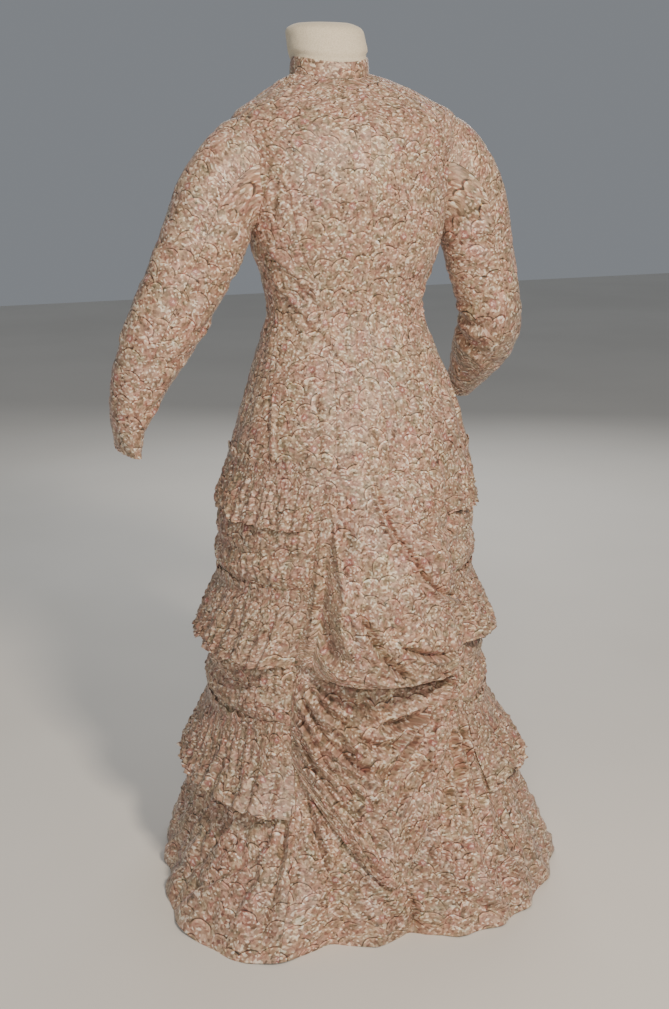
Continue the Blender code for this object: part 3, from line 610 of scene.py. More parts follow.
            drawn = add_node(tree, "ShaderNodeMix", {0: share, 6: dyed.outputs[2], 7: arcs},
                             data_type="RGBA", blend_type="OVERLAY")
            colour = drawn.outputs[2]
        rosettes = add_node(tree, "ShaderNodeTexVoronoi",
                            {"Vector": flat.outputs[0], "Scale": 1 / self.rosette_mm,
                             "Randomness": 0.6}, voronoi_dimensions="2D")
        frayed = add_node(tree, "ShaderNodeTexNoise",
                          {"Vector": flat.outputs[0], "Scale": 0.30, "Detail": 1.0},
                          noise_dimensions="2D")
        petals = add_node(tree, "ShaderNodeVectorMath",
                          {0: frayed.outputs["Color"], 1: (7.0, 7.0, 0.0), 2: flat.outputs[0]},
                          operation="MULTIPLY_ADD")
        local = add_node(tree, "ShaderNodeVectorMath",
                         {0: petals.outputs[0], 1: rosettes.outputs["Position"]},
                         operation="SUBTRACT")
        for away, radius, code in self.spots:
            inside = self.spot(tree, local.outputs[0], away, radius)
            dab = add_node(tree, "ShaderNodeMix", {0: inside, 6: colour, 7: linear(code)},
                           data_type="RGBA")
            colour = dab.outputs[2]
        worn = add_node(tree, "ShaderNodeTexNoise",
                        {"Vector": flat.outputs[0], "Scale": 0.011, "Detail": 2.0},
                        noise_dimensions="2D")
        fading = add_node(tree, "ShaderNodeMapRange",
                          {"Value": worn.outputs[0], "From Min": 0.3, "From Max": 0.7,
                           "To Min": 0.90 * self.shade, "To Max": 1.06 * self.shade})
        faded = add_node(tree, "ShaderNodeVectorMath",
                         {0: colour, "Scale": fading.outputs[0]}, operation="SCALE")
        tree.links.new(faded.outputs[0], shader.inputs["Base Color"])
        threads = []
        for direction in ("X", "Y"):
            wave = add_node(tree, "ShaderNodeTexWave",
                            {"Vector": flat.outputs[0], "Scale": 0.314 / self.thread_mm,
                             "Distortion": 0.6, "Detail": 1.0}, bands_direction=direction)
            threads.append(wave.outputs["Fac"])
        weave = add_node(tree, "ShaderNodeMath", {0: threads[0], 1: threads[1]}, operation="ADD")
        rumple = add_node(tree, "ShaderNodeTexNoise",
                          {"Vector": flat.outputs[0], "Scale": 0.14, "Detail": 3.0},
                          noise_dimensions="2D")
        soft = add_node(tree, "ShaderNodeBump",
                        {"Height": rumple.outputs[0], "Strength": 0.28, "Distance": 0.0009})
        bump = add_node(tree, "ShaderNodeBump",
                        {"Height": weave.outputs[0], "Strength": 0.12, "Distance": 0.0002,
                         "Normal": soft.outputs[0]})
        tree.links.new(bump.outputs[0], shader.inputs["Normal"])
        shader.inputs["Roughness"].default_value = self.roughness
        shader.inputs["Specular IOR Level"].default_value = 0.45
        shader.inputs["Sheen Weight"].default_value = 0.12
        shader.inputs["Sheen Roughness"].default_value = 0.5
        return material


@dataclass(frozen=True)
class PlainFinish:
    """A one-coloured finish with fine unevenness on Object coordinates.

    light and dark are its two shades, grain_mm the size of the unevenness.
    """
    name: str
    light: str
    dark: str
    roughness: float
    metallic: float
    grain_mm: float
    relief_mm: float
    sheen: float = 0.0

    def build(self) -> bpy.types.Material:
        """Make the material.

        Returns:
            The material.
        """
        material = bpy.data.materials.new(self.name)
        material.use_nodes = True
        tree = material.node_tree
        shader = tree.nodes["Principled BSDF"]
        place = add_node(tree, "ShaderNodeTexCoord")
        grain = add_node(tree, "ShaderNodeTexNoise",
                         {"Vector": place.outputs["Object"], "Scale": 1000 / self.grain_mm,
                          "Detail": 3.0})
        shade = add_node(tree, "ShaderNodeValToRGB", {0: grain.outputs[0]})
        fill_ramp(shade, ((0.35, self.dark), (0.65, self.light)))
        tree.links.new(shade.outputs[0], shader.inputs["Base Color"])
        bump = add_node(tree, "ShaderNodeBump",
                        {"Height": grain.outputs[0], "Strength": 0.5,
                         "Distance": self.relief_mm / 1000})
        tree.links.new(bump.outputs[0], shader.inputs["Normal"])
        shader.inputs["Roughness"].default_value = self.roughness
        shader.inputs["Metallic"].default_value = self.metallic
        shader.inputs["Sheen Weight"].default_value = self.sheen
        return material


# Cotton jersey drawn over padding: matt, cream, with a soft knitted unevenness.
JERSEY = PlainFinish("cotton_jersey", "E6DAC2", "CFC2A6", 0.85, 0.0, 1.6, 0.15, 0.15)
# Black stove enamel on steel tube and an iron foot: satin, slightly pitted.
ENAMEL = PlainFinish("stove_enamel", "2A2724", "171513", 0.42, 0.0, 3.0, 0.05)
# Polished river shell, turned and dyed brown: glossy with cloudy growth lines.
SHELL_FINISH = PlainFinish("polished_shell", "8A6A52", "5C4231", 0.22, 0.0, 2.2, 0.02)
# Six-cord cotton sewing thread, mercerised: a slight sheen on a tan strand.
THREAD = PlainFinish("cotton_thread", "B89C80", "8E7258", 0.60, 0.0, 0.5, 0.02, 0.2)


def row_lengths(points: np.ndarray, axis: int) -> np.ndarray:
    """Lengths along the rows or columns of a grid, from its first line.

    Args:
        points: The grid, with X, Y and Z last.
        axis: 0 down the columns, 1 along the rows.

    Returns:
        The lengths at each point.
    """
    steps = np.linalg.norm(np.diff(points, axis=axis), axis=-1)
    start = np.zeros_like(np.take(points[..., 0], [0], axis=axis))
    return np.concatenate([start, np.cumsum(steps, axis=axis)], axis=axis)


def softened(values: np.ndarray, axis: int, reach: int = 9) -> np.ndarray:
    """Average values with their neighbours along one axis of a grid.

    Args:
        values: The grid of values.
        axis: The axis to average along.
        reach: How many neighbours on each side.

    Returns:
        A grid of the same size.
    """
    width = 2 * reach + 1
    pads = [(reach, reach) if k == axis else (0, 0) for k in range(values.ndim)]
    sums = np.cumsum(np.pad(values, pads, mode="reflect", reflect_type="odd"), axis=axis)
    count = values.shape[axis]
    first = np.take(sums, [width - 1], axis=axis)
    later = (np.take(sums, range(width, width + count - 1), axis=axis)
             - np.take(sums, range(count - 1), axis=axis))
    return np.concatenate([first, later], axis=axis) / width


@dataclass
class ClothShell:
    """A thin closed shell of cloth over a grid of outer points."""
    name: str
    outer: np.ndarray
    winding: Winding
    grain: Grain = Grain.MIDDLE
    thickness: float = SHELL

    def cut_places(self) -> np.ndarray:
        """Where each point lies on the cut cloth, in metres, with the print upright.

        Returns:
            An array with two values last.
        """
        if self.grain is Grain.MIDDLE:
            smooth = softened(softened(self.outer, 0), 1)
            ahead = unit(np.gradient(smooth, axis=1))[:-1]
            steps = np.diff(smooth, axis=0)
            rise = np.linalg.norm(np.cross(steps, ahead), axis=-1)
            middle = smooth.shape[1] // 2
            skew = (steps * ahead).sum(axis=-1)[:, middle]
            along = np.concatenate([np.zeros_like(rise[:1]), np.cumsum(rise, axis=0)])
            across = row_lengths(smooth, 1)
            across = across - across[:, middle:middle + 1]
            across[1:] += np.cumsum(skew)[:, None]
        elif self.grain is Grain.FALLING:
            smooth = softened(softened(self.outer, 0, 5), 1, 5)
            steps = np.diff(smooth, axis=0)
            lead = unit(softened(unit(steps.mean(axis=1)), 0, 12))
            lead = np.concatenate([lead, lead[-1:]])[:, None]
            ahead = np.diff(smooth, axis=1)
            lengthwise = (ahead * lead).sum(axis=-1, keepdims=True)
            sideways = ahead - lengthwise * lead
            middle = smooth.shape[1] // 2
            down = (steps * lead[:-1]).sum(axis=-1)[:, middle]
            skew = (steps[:, middle] * unit(sideways[:-1, middle])).sum(axis=-1)
            widths = np.linalg.norm(sideways, axis=-1)
            start = np.zeros_like(widths[:, :1])
            across = np.concatenate([start, np.cumsum(widths, axis=1)], axis=1)
            along = np.concatenate([start, np.cumsum(lengthwise[..., 0], axis=1)], axis=1)
            across = across - across[:, middle:middle + 1]
            along = along - along[:, middle:middle + 1]
            across[1:] += np.cumsum(skew)[:, None]
            along[1:] += np.cumsum(down)[:, None]
        else:
            across, along = row_lengths(self.outer, 1), row_lengths(self.outer, 0)
            across = np.broadcast_to(across.mean(axis=0, keepdims=True), across.shape)
            along = np.broadcast_to(along.mean(axis=1, keepdims=True), across.shape)
        upright = np.sign((self.outer[-1] - self.outer[0])[:, 2].mean())
        shift = sum(ord(letter) * (i + 1) for i, letter in enumerate(self.name)) % 97 / 50
        return np.stack([across + shift, along * upright + shift], axis=-1)

    def normals(self) -> np.ndarray:
        """Unit vectors out of the cloth at each point."""
        across, along = np.gradient(self.outer, axis=1), np.gradient(self.outer, axis=0)
        return unit(np.cross(along, across)) * self.winding.value

    def build(self, material: bpy.types.Material) -> bpy.types.Object:
        """Make the mesh.

        Args:
            material: The cloth's finish.

        Returns:
            The object, linked to the scene.
        """
        rows, columns = self.outer.shape[:2]
        inner = self.outer - self.thickness * self.normals()
        points = np.concatenate([self.outer.reshape(-1, 3), inner.reshape(-1, 3)])
        i, j = np.meshgrid(np.arange(rows - 1), np.arange(columns - 1), indexing="ij")
        a = (i * columns + j).ravel()
        quads = np.stack([a, a + 1, a + columns + 1, a + columns], axis=1)
        if self.winding is Winding.REVERSED:
            quads = quads[:, ::-1]
        count = rows * columns
        faces = [quads, quads[:, ::-1] + count]
        for line in self.rim_lines(rows, columns):
            b, c = line[:-1], line[1:]
            rim = np.stack([c, b, b + count, c + count], axis=1)
            faces.append(rim[:, ::-1] if self.winding is Winding.REVERSED else rim)
        mesh = bpy.data.meshes.new(self.name)
        mesh.from_pydata(points.tolist(), [], np.concatenate(faces).tolist())
        layer = mesh.uv_layers.new(name="cut")
        corners = np.zeros(len(mesh.loops), int)
        mesh.loops.foreach_get("vertex_index", corners)
        places = self.cut_places().reshape(-1, 2)
        layer.data.foreach_set("uv", np.tile(places, (2, 1))[corners].ravel().astype(np.float32))
        mesh.materials.append(material)
        mesh.shade_smooth()
        mesh.set_sharp_from_angle(angle=SMOOTH_UNDER)
        item = bpy.data.objects.new(self.name, mesh)
        bpy.context.scene.collection.objects.link(item)
        return item

    @staticmethod
    def rim_lines(rows: int, columns: int) -> list[np.ndarray]:
        """The four edges of the grid as runs of point numbers, in turn round it."""
        first = np.arange(columns)
        last = (rows - 1) * columns + first
        left = np.arange(rows) * columns
        return [first, left[::-1], last[::-1], left + columns - 1]


def wear(piece: bpy.types.Object, slot: Slot, *nodes: str) -> bpy.types.Object:
    """Put a piece on the body and hide the CAD nodes that it stands for.

    Args:
        piece: The finished piece.
        slot: The record's material slot; not used.
        nodes: CAD nodes that it replaces.

    Returns:
        The piece.
    """
    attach(piece, ROOT)
    if nodes:
        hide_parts(*nodes)
    LOG.info("%s: %d faces", piece.name, len(piece.data.polygons))
    return piece


def drape_edge(side: Side, height: np.ndarray) -> np.ndarray:
    """The angle where the skirt ends and the back drapery starts, on one side."""
    return DRAPE_EDGES[side].at(height)


def seam_shift(height: np.ndarray) -> np.ndarray:
    """Half of the seam gap as an angle at each height."""
    return np.degrees(SEAM_GAP / 2 / SHAPE.half_width.at(height))


def spaced(start: float, end: float, step: float) -> np.ndarray:
    """Even places from start to end, about a step apart."""
    return np.linspace(start, end, int(round(abs(end - start) / step)) + 1)


@dataclass(frozen=True)
class Armhole:
    """The armhole's line on the bodice."""
    side: Side
    top: float = 1.350
    bottom: float = 1.160
    middle_y: float = -0.008
    half_depth: float = 0.058

    def ring(self, turn: np.ndarray, shrink: float, out: float) -> np.ndarray:
        """Points of the line.

        Args:
            turn: Degrees round it, 0 at the top and 90 at the back.
            shrink: How far inside the line, in metres.
            out: How far out from the bodice, in metres.

        Returns:
            An array with X, Y and Z last.
        """
        middle = (self.top + self.bottom) / 2
        half_height = (self.top - self.bottom) / 2 - shrink
        height = middle + half_height * np.cos(np.radians(turn))
        y = self.middle_y + (self.half_depth - shrink) * np.sin(np.radians(turn))
        level = SHAPE.side.at(height)
        reach = np.where(y > level, SHAPE.back.at(height) - level, level - SHAPE.front.at(height))
        cosine = np.clip(np.abs(y - level) / reach, 0, 1) ** (1 / ROUNDNESS)
        x = SHAPE.half_width.at(height) * fuller(np.sqrt(1 - cosine ** 2))
        x = SHAPE.middle.at(height) + self.side.value * (x + out)
        return np.stack([x, y, height], axis=-1)

    def cutter(self) -> bpy.types.Object:
        """Make the solid that cuts the armhole."""
        count = 96
        turns = 360 * np.arange(count) / count
        points = np.concatenate([self.ring(turns, 0.0, -0.05), self.ring(turns, 0.0, 0.05)])
        after = (np.arange(count) + 1) % count
        sides = [(i, k, count + k, count + i) for i, k in enumerate(after.tolist())]
        caps = [tuple(range(count))[::-1], tuple(range(count, 2 * count))]
        mesh = bpy.data.meshes.new("armhole_cutter")
        mesh.from_pydata(points.tolist(), [], sides + caps)
        if self.side is Side.RIGHT:
            mesh.flip_normals()
        item = bpy.data.objects.new("armhole_cutter", mesh)
        bpy.context.scene.collection.objects.link(item)
        return item


def applied(item: bpy.types.Object) -> bpy.types.Object:
    """Turn an object's modifiers into plain mesh and take them off.

    Args:
        item: The object.

    Returns:
        The same object.
    """
    evaluated = item.evaluated_get(bpy.context.evaluated_depsgraph_get())
    mesh = bpy.data.meshes.new_from_object(evaluated)
    mesh.name = item.name
    item.modifiers.clear()
    item.data = mesh
    return item


@dataclass
class Bodice:
    """The princess panels of the bodice, from the neck to the upper flounce."""
    cloth: bpy.types.Material
    bottom: float = 0.745
    top: float = 1.423
    side_back_top: float = 1.310
    row: float = 0.006
    column: float = 0.005
    ditch: float = 0.0007
    ditch_half_width: float = 0.0032
    lowest: float = -0.0031
    back_seam: Curve = curve_of(
        (0.745, 27), (0.850, 24), (0.920, 24), (1.025, 29), (1.060, 32), (1.140, 43),
        (1.200, 46), (1.250, 50), (1.275, 56), (1.295, 64), (1.330, 76), (1.423, 76))
    side_seam: Curve = curve_of(
        (0.745, 58), (0.850, 61), (0.950, 69), (1.025, 78), (1.100, 86), (1.180, 91),
        (1.300, 91))
    front_edge: Curve = curve_of(
        (0.745, 58), (0.850, 61), (0.950, 69), (1.025, 78), (1.100, 86), (1.180, 91),
        (1.270, 91), (1.300, 85), (1.330, 76), (1.423, 76))
    crumples: tuple[Crumple, ...] = (
        Crumple(3, 0.030, 0.046, 0.0030, (9, 4)), Crumple(6, 0.026, 0.040, -0.0016, (2, 3)),
        Crumple(4, 0.013, 0.018, 0.0011, (9, 4)))
    # Drag lines from the waist, hollows at the armholes and soft breaks over the hips, by angle
    # and height
    creases: tuple[Crease, ...] = (
        Crease(((78, 1.135), (50, 1.078), (24, 1.018)), -0.0030, 0.0070, 0.0022),
        Crease(((76, 1.070), (44, 1.008), (20, 0.956)), -0.0034, 0.0065, 0.0024),
        Crease(((44, 1.064), (37, 1.038), (31, 0.980), (21, 0.950)), -0.0026, 0.0055, 0.0020),
        Crease(((62, 1.100), (40, 1.050)), 0.0022, 0.0090),
        Crease(((66, 1.030), (50, 0.985), (40, 0.940)), -0.0022, 0.0075, 0.0016),
        Crease(((84, 1.190), (72, 1.240), (66, 1.290)), -0.0030, 0.0100, 0.0020),
        Crease(((80, 1.150), (62, 1.190), (52, 1.250)), -0.0022, 0.0090, 0.0014),
        Crease(((-82, 1.180), (-68, 1.235), (-62, 1.290)), -0.0034, 0.0100, 0.0022),
        Crease(((-84, 1.110), (-58, 1.060), (-34, 1.030)), -0.0028, 0.0070, 0.0018),
        Crease(((-80, 1.050), (-54, 1.008), (-28, 0.985)), -0.0030, 0.0065, 0.0020),
        Crease(((-60, 0.985), (-40, 0.965), (-18, 0.955)), -0.0022, 0.0070, 0.0016),
        Crease(((-30, 0.940), (-20, 0.880), (-16, 0.820)), 0.0020, 0.0120),
        Crease(((-46, 0.900), (-38, 0.830), (-34, 0.770)), -0.0026, 0.0080, 0.0022),
        Crease(((-58, 0.905), (-56, 0.840), (-52, 0.780)), -0.0020, 0.0080, 0.0018),
        Crease(((68, 0.905), (64, 0.850), (60, 0.780)), -0.0030, 0.0050, 0.0026),
        Crease(((36, 0.900), (34, 0.840), (33, 0.770)), -0.0016, 0.0080, 0.0014),
        Crease(((8, 1.030), (2, 0.985), (4, 0.930)), -0.0012, 0.0100, 0.0010),
        Crease(((-10, 1.060), (-6, 1.010), (-12, 0.960)), -0.0012, 0.0080, 0.0010),
        Crease(((20, 1.300), (36, 1.330), (60, 1.340)), -0.0014, 0.0110, 0.0010),
        Crease(((-24, 1.290), (-40, 1.322), (-64, 1.335)), -0.0016, 0.0100, 0.0012),
        Crease(((150, 1.060), (128, 1.030), (104, 1.020)), -0.0024, 0.0080, 0.0016),
        Crease(((-152, 1.055), (-130, 1.028), (-106, 1.024)), -0.0026, 0.0080, 0.0016),
        Crease(((118, 1.230), (104, 1.200), (96, 1.180)), -0.0024, 0.0100, 0.0014),
        Crease(((-120, 1.225), (-105, 1.200), (-97, 1.180)), -0.0026, 0.0100, 0.0014),
        Crease(((140, 0.930), (132, 0.860), (128, 0.790)), 0.0020, 0.0130),
        Crease(((-142, 0.925), (-134, 0.860), (-128, 0.800)), 0.0020, 0.0130),
    )

    def lift(self, angle: np.ndarray, height: np.ndarray, near_seam: np.ndarray) -> np.ndarray:
        """How far the cloth of a panel lies outside the plain shape.

        Args:
            angle: Degrees round the dress.
            height: Heights in metres.
            near_seam: Metres from the nearest lengthwise seam.

        Returns:
            The lift in metres.
        """
        x = angle * METRES_PER_DEGREE
        fine = crumpled(self.crumples, x, height)
        slow = SoftNoise(5).at(x / 0.085 + 3, height / 0.11) * 0.0014
        waist = np.exp(-((height - 1.02) / 0.05) ** 2)
        pull = SoftNoise(8).creased(x / 0.05 + 2, height / 0.016 + 7) * 0.0018 * waist
        ditch = -self.ditch * np.exp(-(near_seam / self.ditch_half_width) ** 2)
        hand = lift_of(self.creases, angle, height, (METRES_PER_DEGREE, 1.0))
        return np.maximum(fine + slow + pull + ditch + 1.6 * hand - 0.0010, self.lowest)

    def panel(self, name: str, side: Side, first: Callable, second: Callable, top: float,
              node: str) -> tuple[ClothShell, bpy.types.Object]:
        """Make one lengthwise panel.

        Args:
            name: The piece's name.
            side: The side of the wearer.
            first: Gives the angle of its edge nearer the middle back, at each height.
            second: Gives the angle of its other edge.
            top: The height of its top.
            node: The CAD node that it stands for, for the log.

        Returns:
            The shell and the object.
        """
        rows = spaced(self.bottom, top, self.row)[:, None]
        shift = seam_shift(rows)
        start, end = first(rows) + shift, second(rows) - shift
        widest = float((end - start).max()) * METRES_PER_DEGREE
        share = spaced(0.0, 1.0, self.column / widest)[None, :]
        angle = side.value * (start + (end - start) * share)
        near = np.minimum(share, 1 - share) * (end - start) * METRES_PER_DEGREE
        points = SHAPE.lifted(angle, rows, self.lift(angle, rows, near))
        way = Winding.PLAIN if side is Side.LEFT else Winding.REVERSED
        shell = ClothShell(name, points, way)
        LOG.info("%s stands for %s", name, node)
        return shell, shell.build(self.cloth)

    def build(self) -> None:
        """Make all the panels and cut the armholes through them."""
        for side in Side:
            word = side.name.lower()
            panels = {
                f"back_{word}": (lambda h: h * 0.0, self.back_seam.at, self.top),
                f"side_back_{word}": (self.back_seam.at, self.side_seam.at, self.side_back_top),
                f"front_{word}": (self.front_edge.at, lambda h: h * 0.0 + 180.0, self.top),
            }
            cutter = Armhole(side).cutter()
            for node, (first, second, top) in panels.items():
                shell, piece = self.panel(f"{node}_cloth", side, first, second, top, node)
                cut = piece.modifiers.new("armhole", "BOOLEAN")
                cut.operation, cut.solver, cut.object = "DIFFERENCE", "EXACT", cutter
                applied(piece)
                wear(piece, Slot.PRINT, node)
            bpy.data.objects.remove(cutter, do_unlink=True)


@dataclass(frozen=True)
class Neck:
    """The line of the neck, which the collar and the form share."""
    middle_y: float = -0.072
    collar_height: float = 0.027
    levels_over: float = 0.045
    lean_side: float = 0.06
    lean_forward: float = -0.38
    collar_lean: float = 0.08

    def point(self, angle: np.ndarray, up: np.ndarray, inset: np.ndarray) -> np.ndarray:
        """Points round the neck.

        Args:
            angle: Degrees round the dress.
            up: Metres over the neck line.
            inset: Metres inside the collar's line.

        Returns:
            An array with X, Y and Z last.
        """
        angle, up, inset = np.broadcast_arrays(angle, up, inset)
        base = SHAPE.point(angle, np.full(angle.shape, SHAPE.neck_line))
        middle = np.array([SHAPE.middle.values[-1], self.middle_y, 0.0])
        inward = middle - base
        inward[..., 2] = 0.0
        inward = unit(inward)
        above = np.clip(up - self.collar_height, 0, None)
        base[..., 2] += (SHAPE.neck_line - base[..., 2]) * np.clip(above / self.levels_over, 0, 1)
        lean = np.stack([self.lean_side * above, self.lean_forward * above, up], axis=-1)
        return base + (inset + self.collar_lean * up)[..., None] * inward + lean


@dataclass
class Collar:
    """The stand collar, a doubled band that meets at the front."""
    cloth: bpy.types.Material
    neck: Neck = Neck()
    gap: float = 0.0007
    row: float = 0.0018
    column: float = 0.0040
    around: float = 0.40

    def build(self) -> None:
        """Make the collar."""
        up = spaced(0.0, self.neck.collar_height, self.row)[:, None]
        shift = float(seam_shift(np.array(SHAPE.neck_line))) * 2
        turn = spaced(-180 + shift, 180 - shift, 360 * self.column / self.around)[None, :]
        share = up / self.neck.collar_height
        roll = 0.0006 * np.sin(math.pi * share) - 0.0004 * (share > 0.93)
        ease = SoftNoise(21).at(turn / 16 + 5, up / 0.018) * 0.0005
        outer = self.neck.point(turn, up + self.gap, -(roll + ease) * np.ones_like(turn))
        shell = ClothShell("collar_cloth", outer, Winding.PLAIN, thickness=0.0014)
        piece = wear(shell.build(self.cloth), Slot.PRINT, "collar")


@dataclass(frozen=True)
class SleeveRow:
    """A ring of a sleeve: its outer and inner edge, as (out, y, z), and its half depth."""
    outer: tuple[float, float, float]
    inner: tuple[float, float, float]
    half_depth: float


@dataclass
class Sleeve:
    """A two-piece sleeve, set into its armhole."""
    cloth: bpy.types.Material
    side: Side
    table: tuple[SleeveRow, ...]
    creases: tuple[Crease, ...]
    start: float = 0.0012
    armhole_gap: float = 0.0009
    back_seam: float = 78.0
    front_seam: float = -98.0
    seam_gap: float = 0.2
    row: float = 0.005
    column: float = 0.005
    metres_per_degree: float = 0.0009

    def frame_rings(self, turn: np.ndarray) -> np.ndarray:
        """The sleeve's rings at given turns, from inside the armhole to the cuff.

        Args:
            turn: Degrees round the sleeve, 0 at its outer edge and 90 at the back.

        Returns:
            An array of rings, turns, and X, Y and Z.
        """
        armhole = Armhole(self.side)
        rings = [armhole.ring(turn, self.armhole_gap, out) for out in (-self.start, self.start)]
        outer = np.array([row.outer for row in self.table]) * (self.side.value, 1, 1)
        inner = np.array([row.inner for row in self.table]) * (self.side.value, 1, 1)
        for i, row in enumerate(self.table):
            before, after = max(i - 1, 0), min(i + 1, len(self.table) - 1)
            along = outer[after] + inner[after] - outer[before] - inner[before]
            across = (outer[i] - inner[i]) / 2
            depth = np.cross(along, across)
            depth *= row.half_depth / np.linalg.norm(depth)
            depth = -depth if depth[1] < 0 else depth
            rings.append((outer[i] + inner[i]) / 2
                         + across * np.cos(np.radians(turn))[:, None]
                         + depth * np.sin(np.radians(turn))[:, None])
        return np.array(rings)

    def surface(self, turn: np.ndarray) -> tuple[np.ndarray, np.ndarray]:
        """The sleeve's plain outer side at given turns.

        Args:
            turn: Degrees round the sleeve.

        Returns:
            The grid of points and the length down the sleeve at each row.
        """
        rings = self.frame_rings(turn)
        middles = (self.frame_rings(np.array([0.0, 180.0]))).mean(axis=1)
        down = np.concatenate([[0], np.cumsum(np.linalg.norm(np.diff(middles, axis=0), axis=1))])
        places = spaced(0.0, float(down[-1]), self.row)
        grid = np.zeros((len(places), len(turn), 3))
        for column in range(len(turn)):
            for axis in range(3):
                line = Curve(tuple(down), tuple(rings[:, column, axis]))
                grid[:, column, axis] = line.at(places)
        return grid, places

    def build(self) -> None:
        """Make the upper and the under piece."""
        word = self.side.name.lower()
        pieces = (("upper", self.front_seam, self.back_seam),
                  ("under", self.back_seam, 360 + self.front_seam))
        for piece_word, start, end in pieces:
            turn = spaced(start + self.seam_gap, end - self.seam_gap,
                          self.column / self.metres_per_degree)
            grid, places = self.surface(turn)
            x, down = turn[None, :], places[:, None]
            near = np.minimum(x - start, end - x) * self.metres_per_degree
            lift = lift_of(self.creases, x, down, (self.metres_per_degree, 1.0))
            from_front = np.minimum(x - self.front_seam, 360 + self.front_seam - x)
            even = np.clip(from_front * self.metres_per_degree / 0.016, 0, 1)
            rumple = SoftNoise(13 + self.side.value).creased(x / 34 + 3, down / 0.036) * 0.0028
            rumple += SoftNoise(14 + self.side.value).creased(x / 15 + 3, down / 0.015) * 0.0010
            rumple += SoftNoise(17).at(x / 60 + 8, down / 0.09) * 0.0014
            lift = 1.5 * lift - 0.0014 + even * rumple + (1 - even) * 0.0012
            lift -= 0.0003 * np.exp(-(near / 0.003) ** 2)
            lift *= np.clip(down / 0.02, 0, 1)
            way = Winding.PLAIN if self.side is Side.LEFT else Winding.REVERSED
            shell = ClothShell(f"sleeve_{word}_{piece_word}_cloth", grid, way, Grain.FALLING)
            shell.outer = grid + lift[..., None] * shell.normals()
            item = wear(shell.build(self.cloth), Slot.PRINT, f"sleeve_{word}_{piece_word}")


LEFT_SLEEVE = (
    SleeveRow((0.262, 0.000, 1.303), (0.189, 0.000, 1.133), 0.060),
    SleeveRow((0.303, 0.002, 1.245), (0.195, 0.000, 1.114), 0.057),
    SleeveRow((0.331, 0.004, 1.175), (0.206, 0.000, 1.092), 0.054),
    SleeveRow((0.360, 0.005, 1.106), (0.226, 0.000, 1.063), 0.051),
    SleeveRow((0.393, 0.005, 1.036), (0.262, 0.000, 0.998), 0.048),
    SleeveRow((0.414, 0.000, 0.975), (0.296, -0.005, 0.946), 0.046),
    SleeveRow((0.427, -0.006, 0.918), (0.334, -0.012, 0.892), 0.045),
    SleeveRow((0.430, -0.012, 0.870), (0.360, -0.018, 0.852), 0.044),
    SleeveRow((0.424, -0.018, 0.824), (0.377, -0.024, 0.814), 0.042),
    SleeveRow((0.415, -0.022, 0.790), (0.382, -0.028, 0.785), 0.040),
)
RIGHT_SLEEVE = (
    SleeveRow((0.263, 0.000, 1.306), (0.189, 0.000, 1.133), 0.060),
    SleeveRow((0.301, 0.002, 1.240), (0.195, 0.000, 1.112), 0.057),
    SleeveRow((0.316, 0.005, 1.170), (0.202, 0.000, 1.086), 0.055),
    SleeveRow((0.329, 0.008, 1.100), (0.214, 0.000, 1.052), 0.053),
    SleeveRow((0.342, 0.010, 1.035), (0.226, 0.000, 1.012), 0.052),
    SleeveRow((0.350, 0.004, 0.975), (0.236, -0.018, 0.978), 0.050),
    SleeveRow((0.349, -0.020, 0.925), (0.245, -0.055, 0.950), 0.048),
    SleeveRow((0.343, -0.062, 0.885), (0.258, -0.090, 0.920), 0.044),
    SleeveRow((0.338, -0.105, 0.855), (0.272, -0.122, 0.888), 0.040),
    SleeveRow((0.335, -0.140, 0.830), (0.281, -0.150, 0.862), 0.037),
)
# By turn and metres down the sleeve: hollows under the head, breaks at the elbow and the cuff
LEFT_SLEEVE_CREASES = (
    Crease(((150, 0.02), (110, 0.07), (60, 0.10)), -0.0040, 0.0090, 0.0026),
    Crease(((140, 0.06), (95, 0.12), (40, 0.15)), -0.0030, 0.0080, 0.0020),
    Crease(((60, 0.03), (35, 0.10), (25, 0.18)), 0.0026, 0.0120),
    Crease(((170, 0.18), (120, 0.21), (80, 0.26)), -0.0034, 0.0080, 0.0024),
    Crease(((100, 0.17), (60, 0.21), (20, 0.23)), -0.0026, 0.0085, 0.0018),
    Crease(((175, 0.25), (130, 0.29), (90, 0.30)), -0.0032, 0.0070, 0.0022),
    Crease(((150, 0.33), (100, 0.36), (50, 0.36)), -0.0024, 0.0080, 0.0018),
    Crease(((80, 0.30), (40, 0.35), (10, 0.42)), 0.0022, 0.0120),
    Crease(((160, 0.41), (110, 0.44), (70, 0.48)), -0.0022, 0.0070, 0.0018),
    Crease(((-90, 0.20), (-60, 0.24), (-20, 0.26)), -0.0030, 0.0080, 0.0020),
    Crease(((-80, 0.30), (-40, 0.34), (0, 0.35)), -0.0024, 0.0080, 0.0018),
)
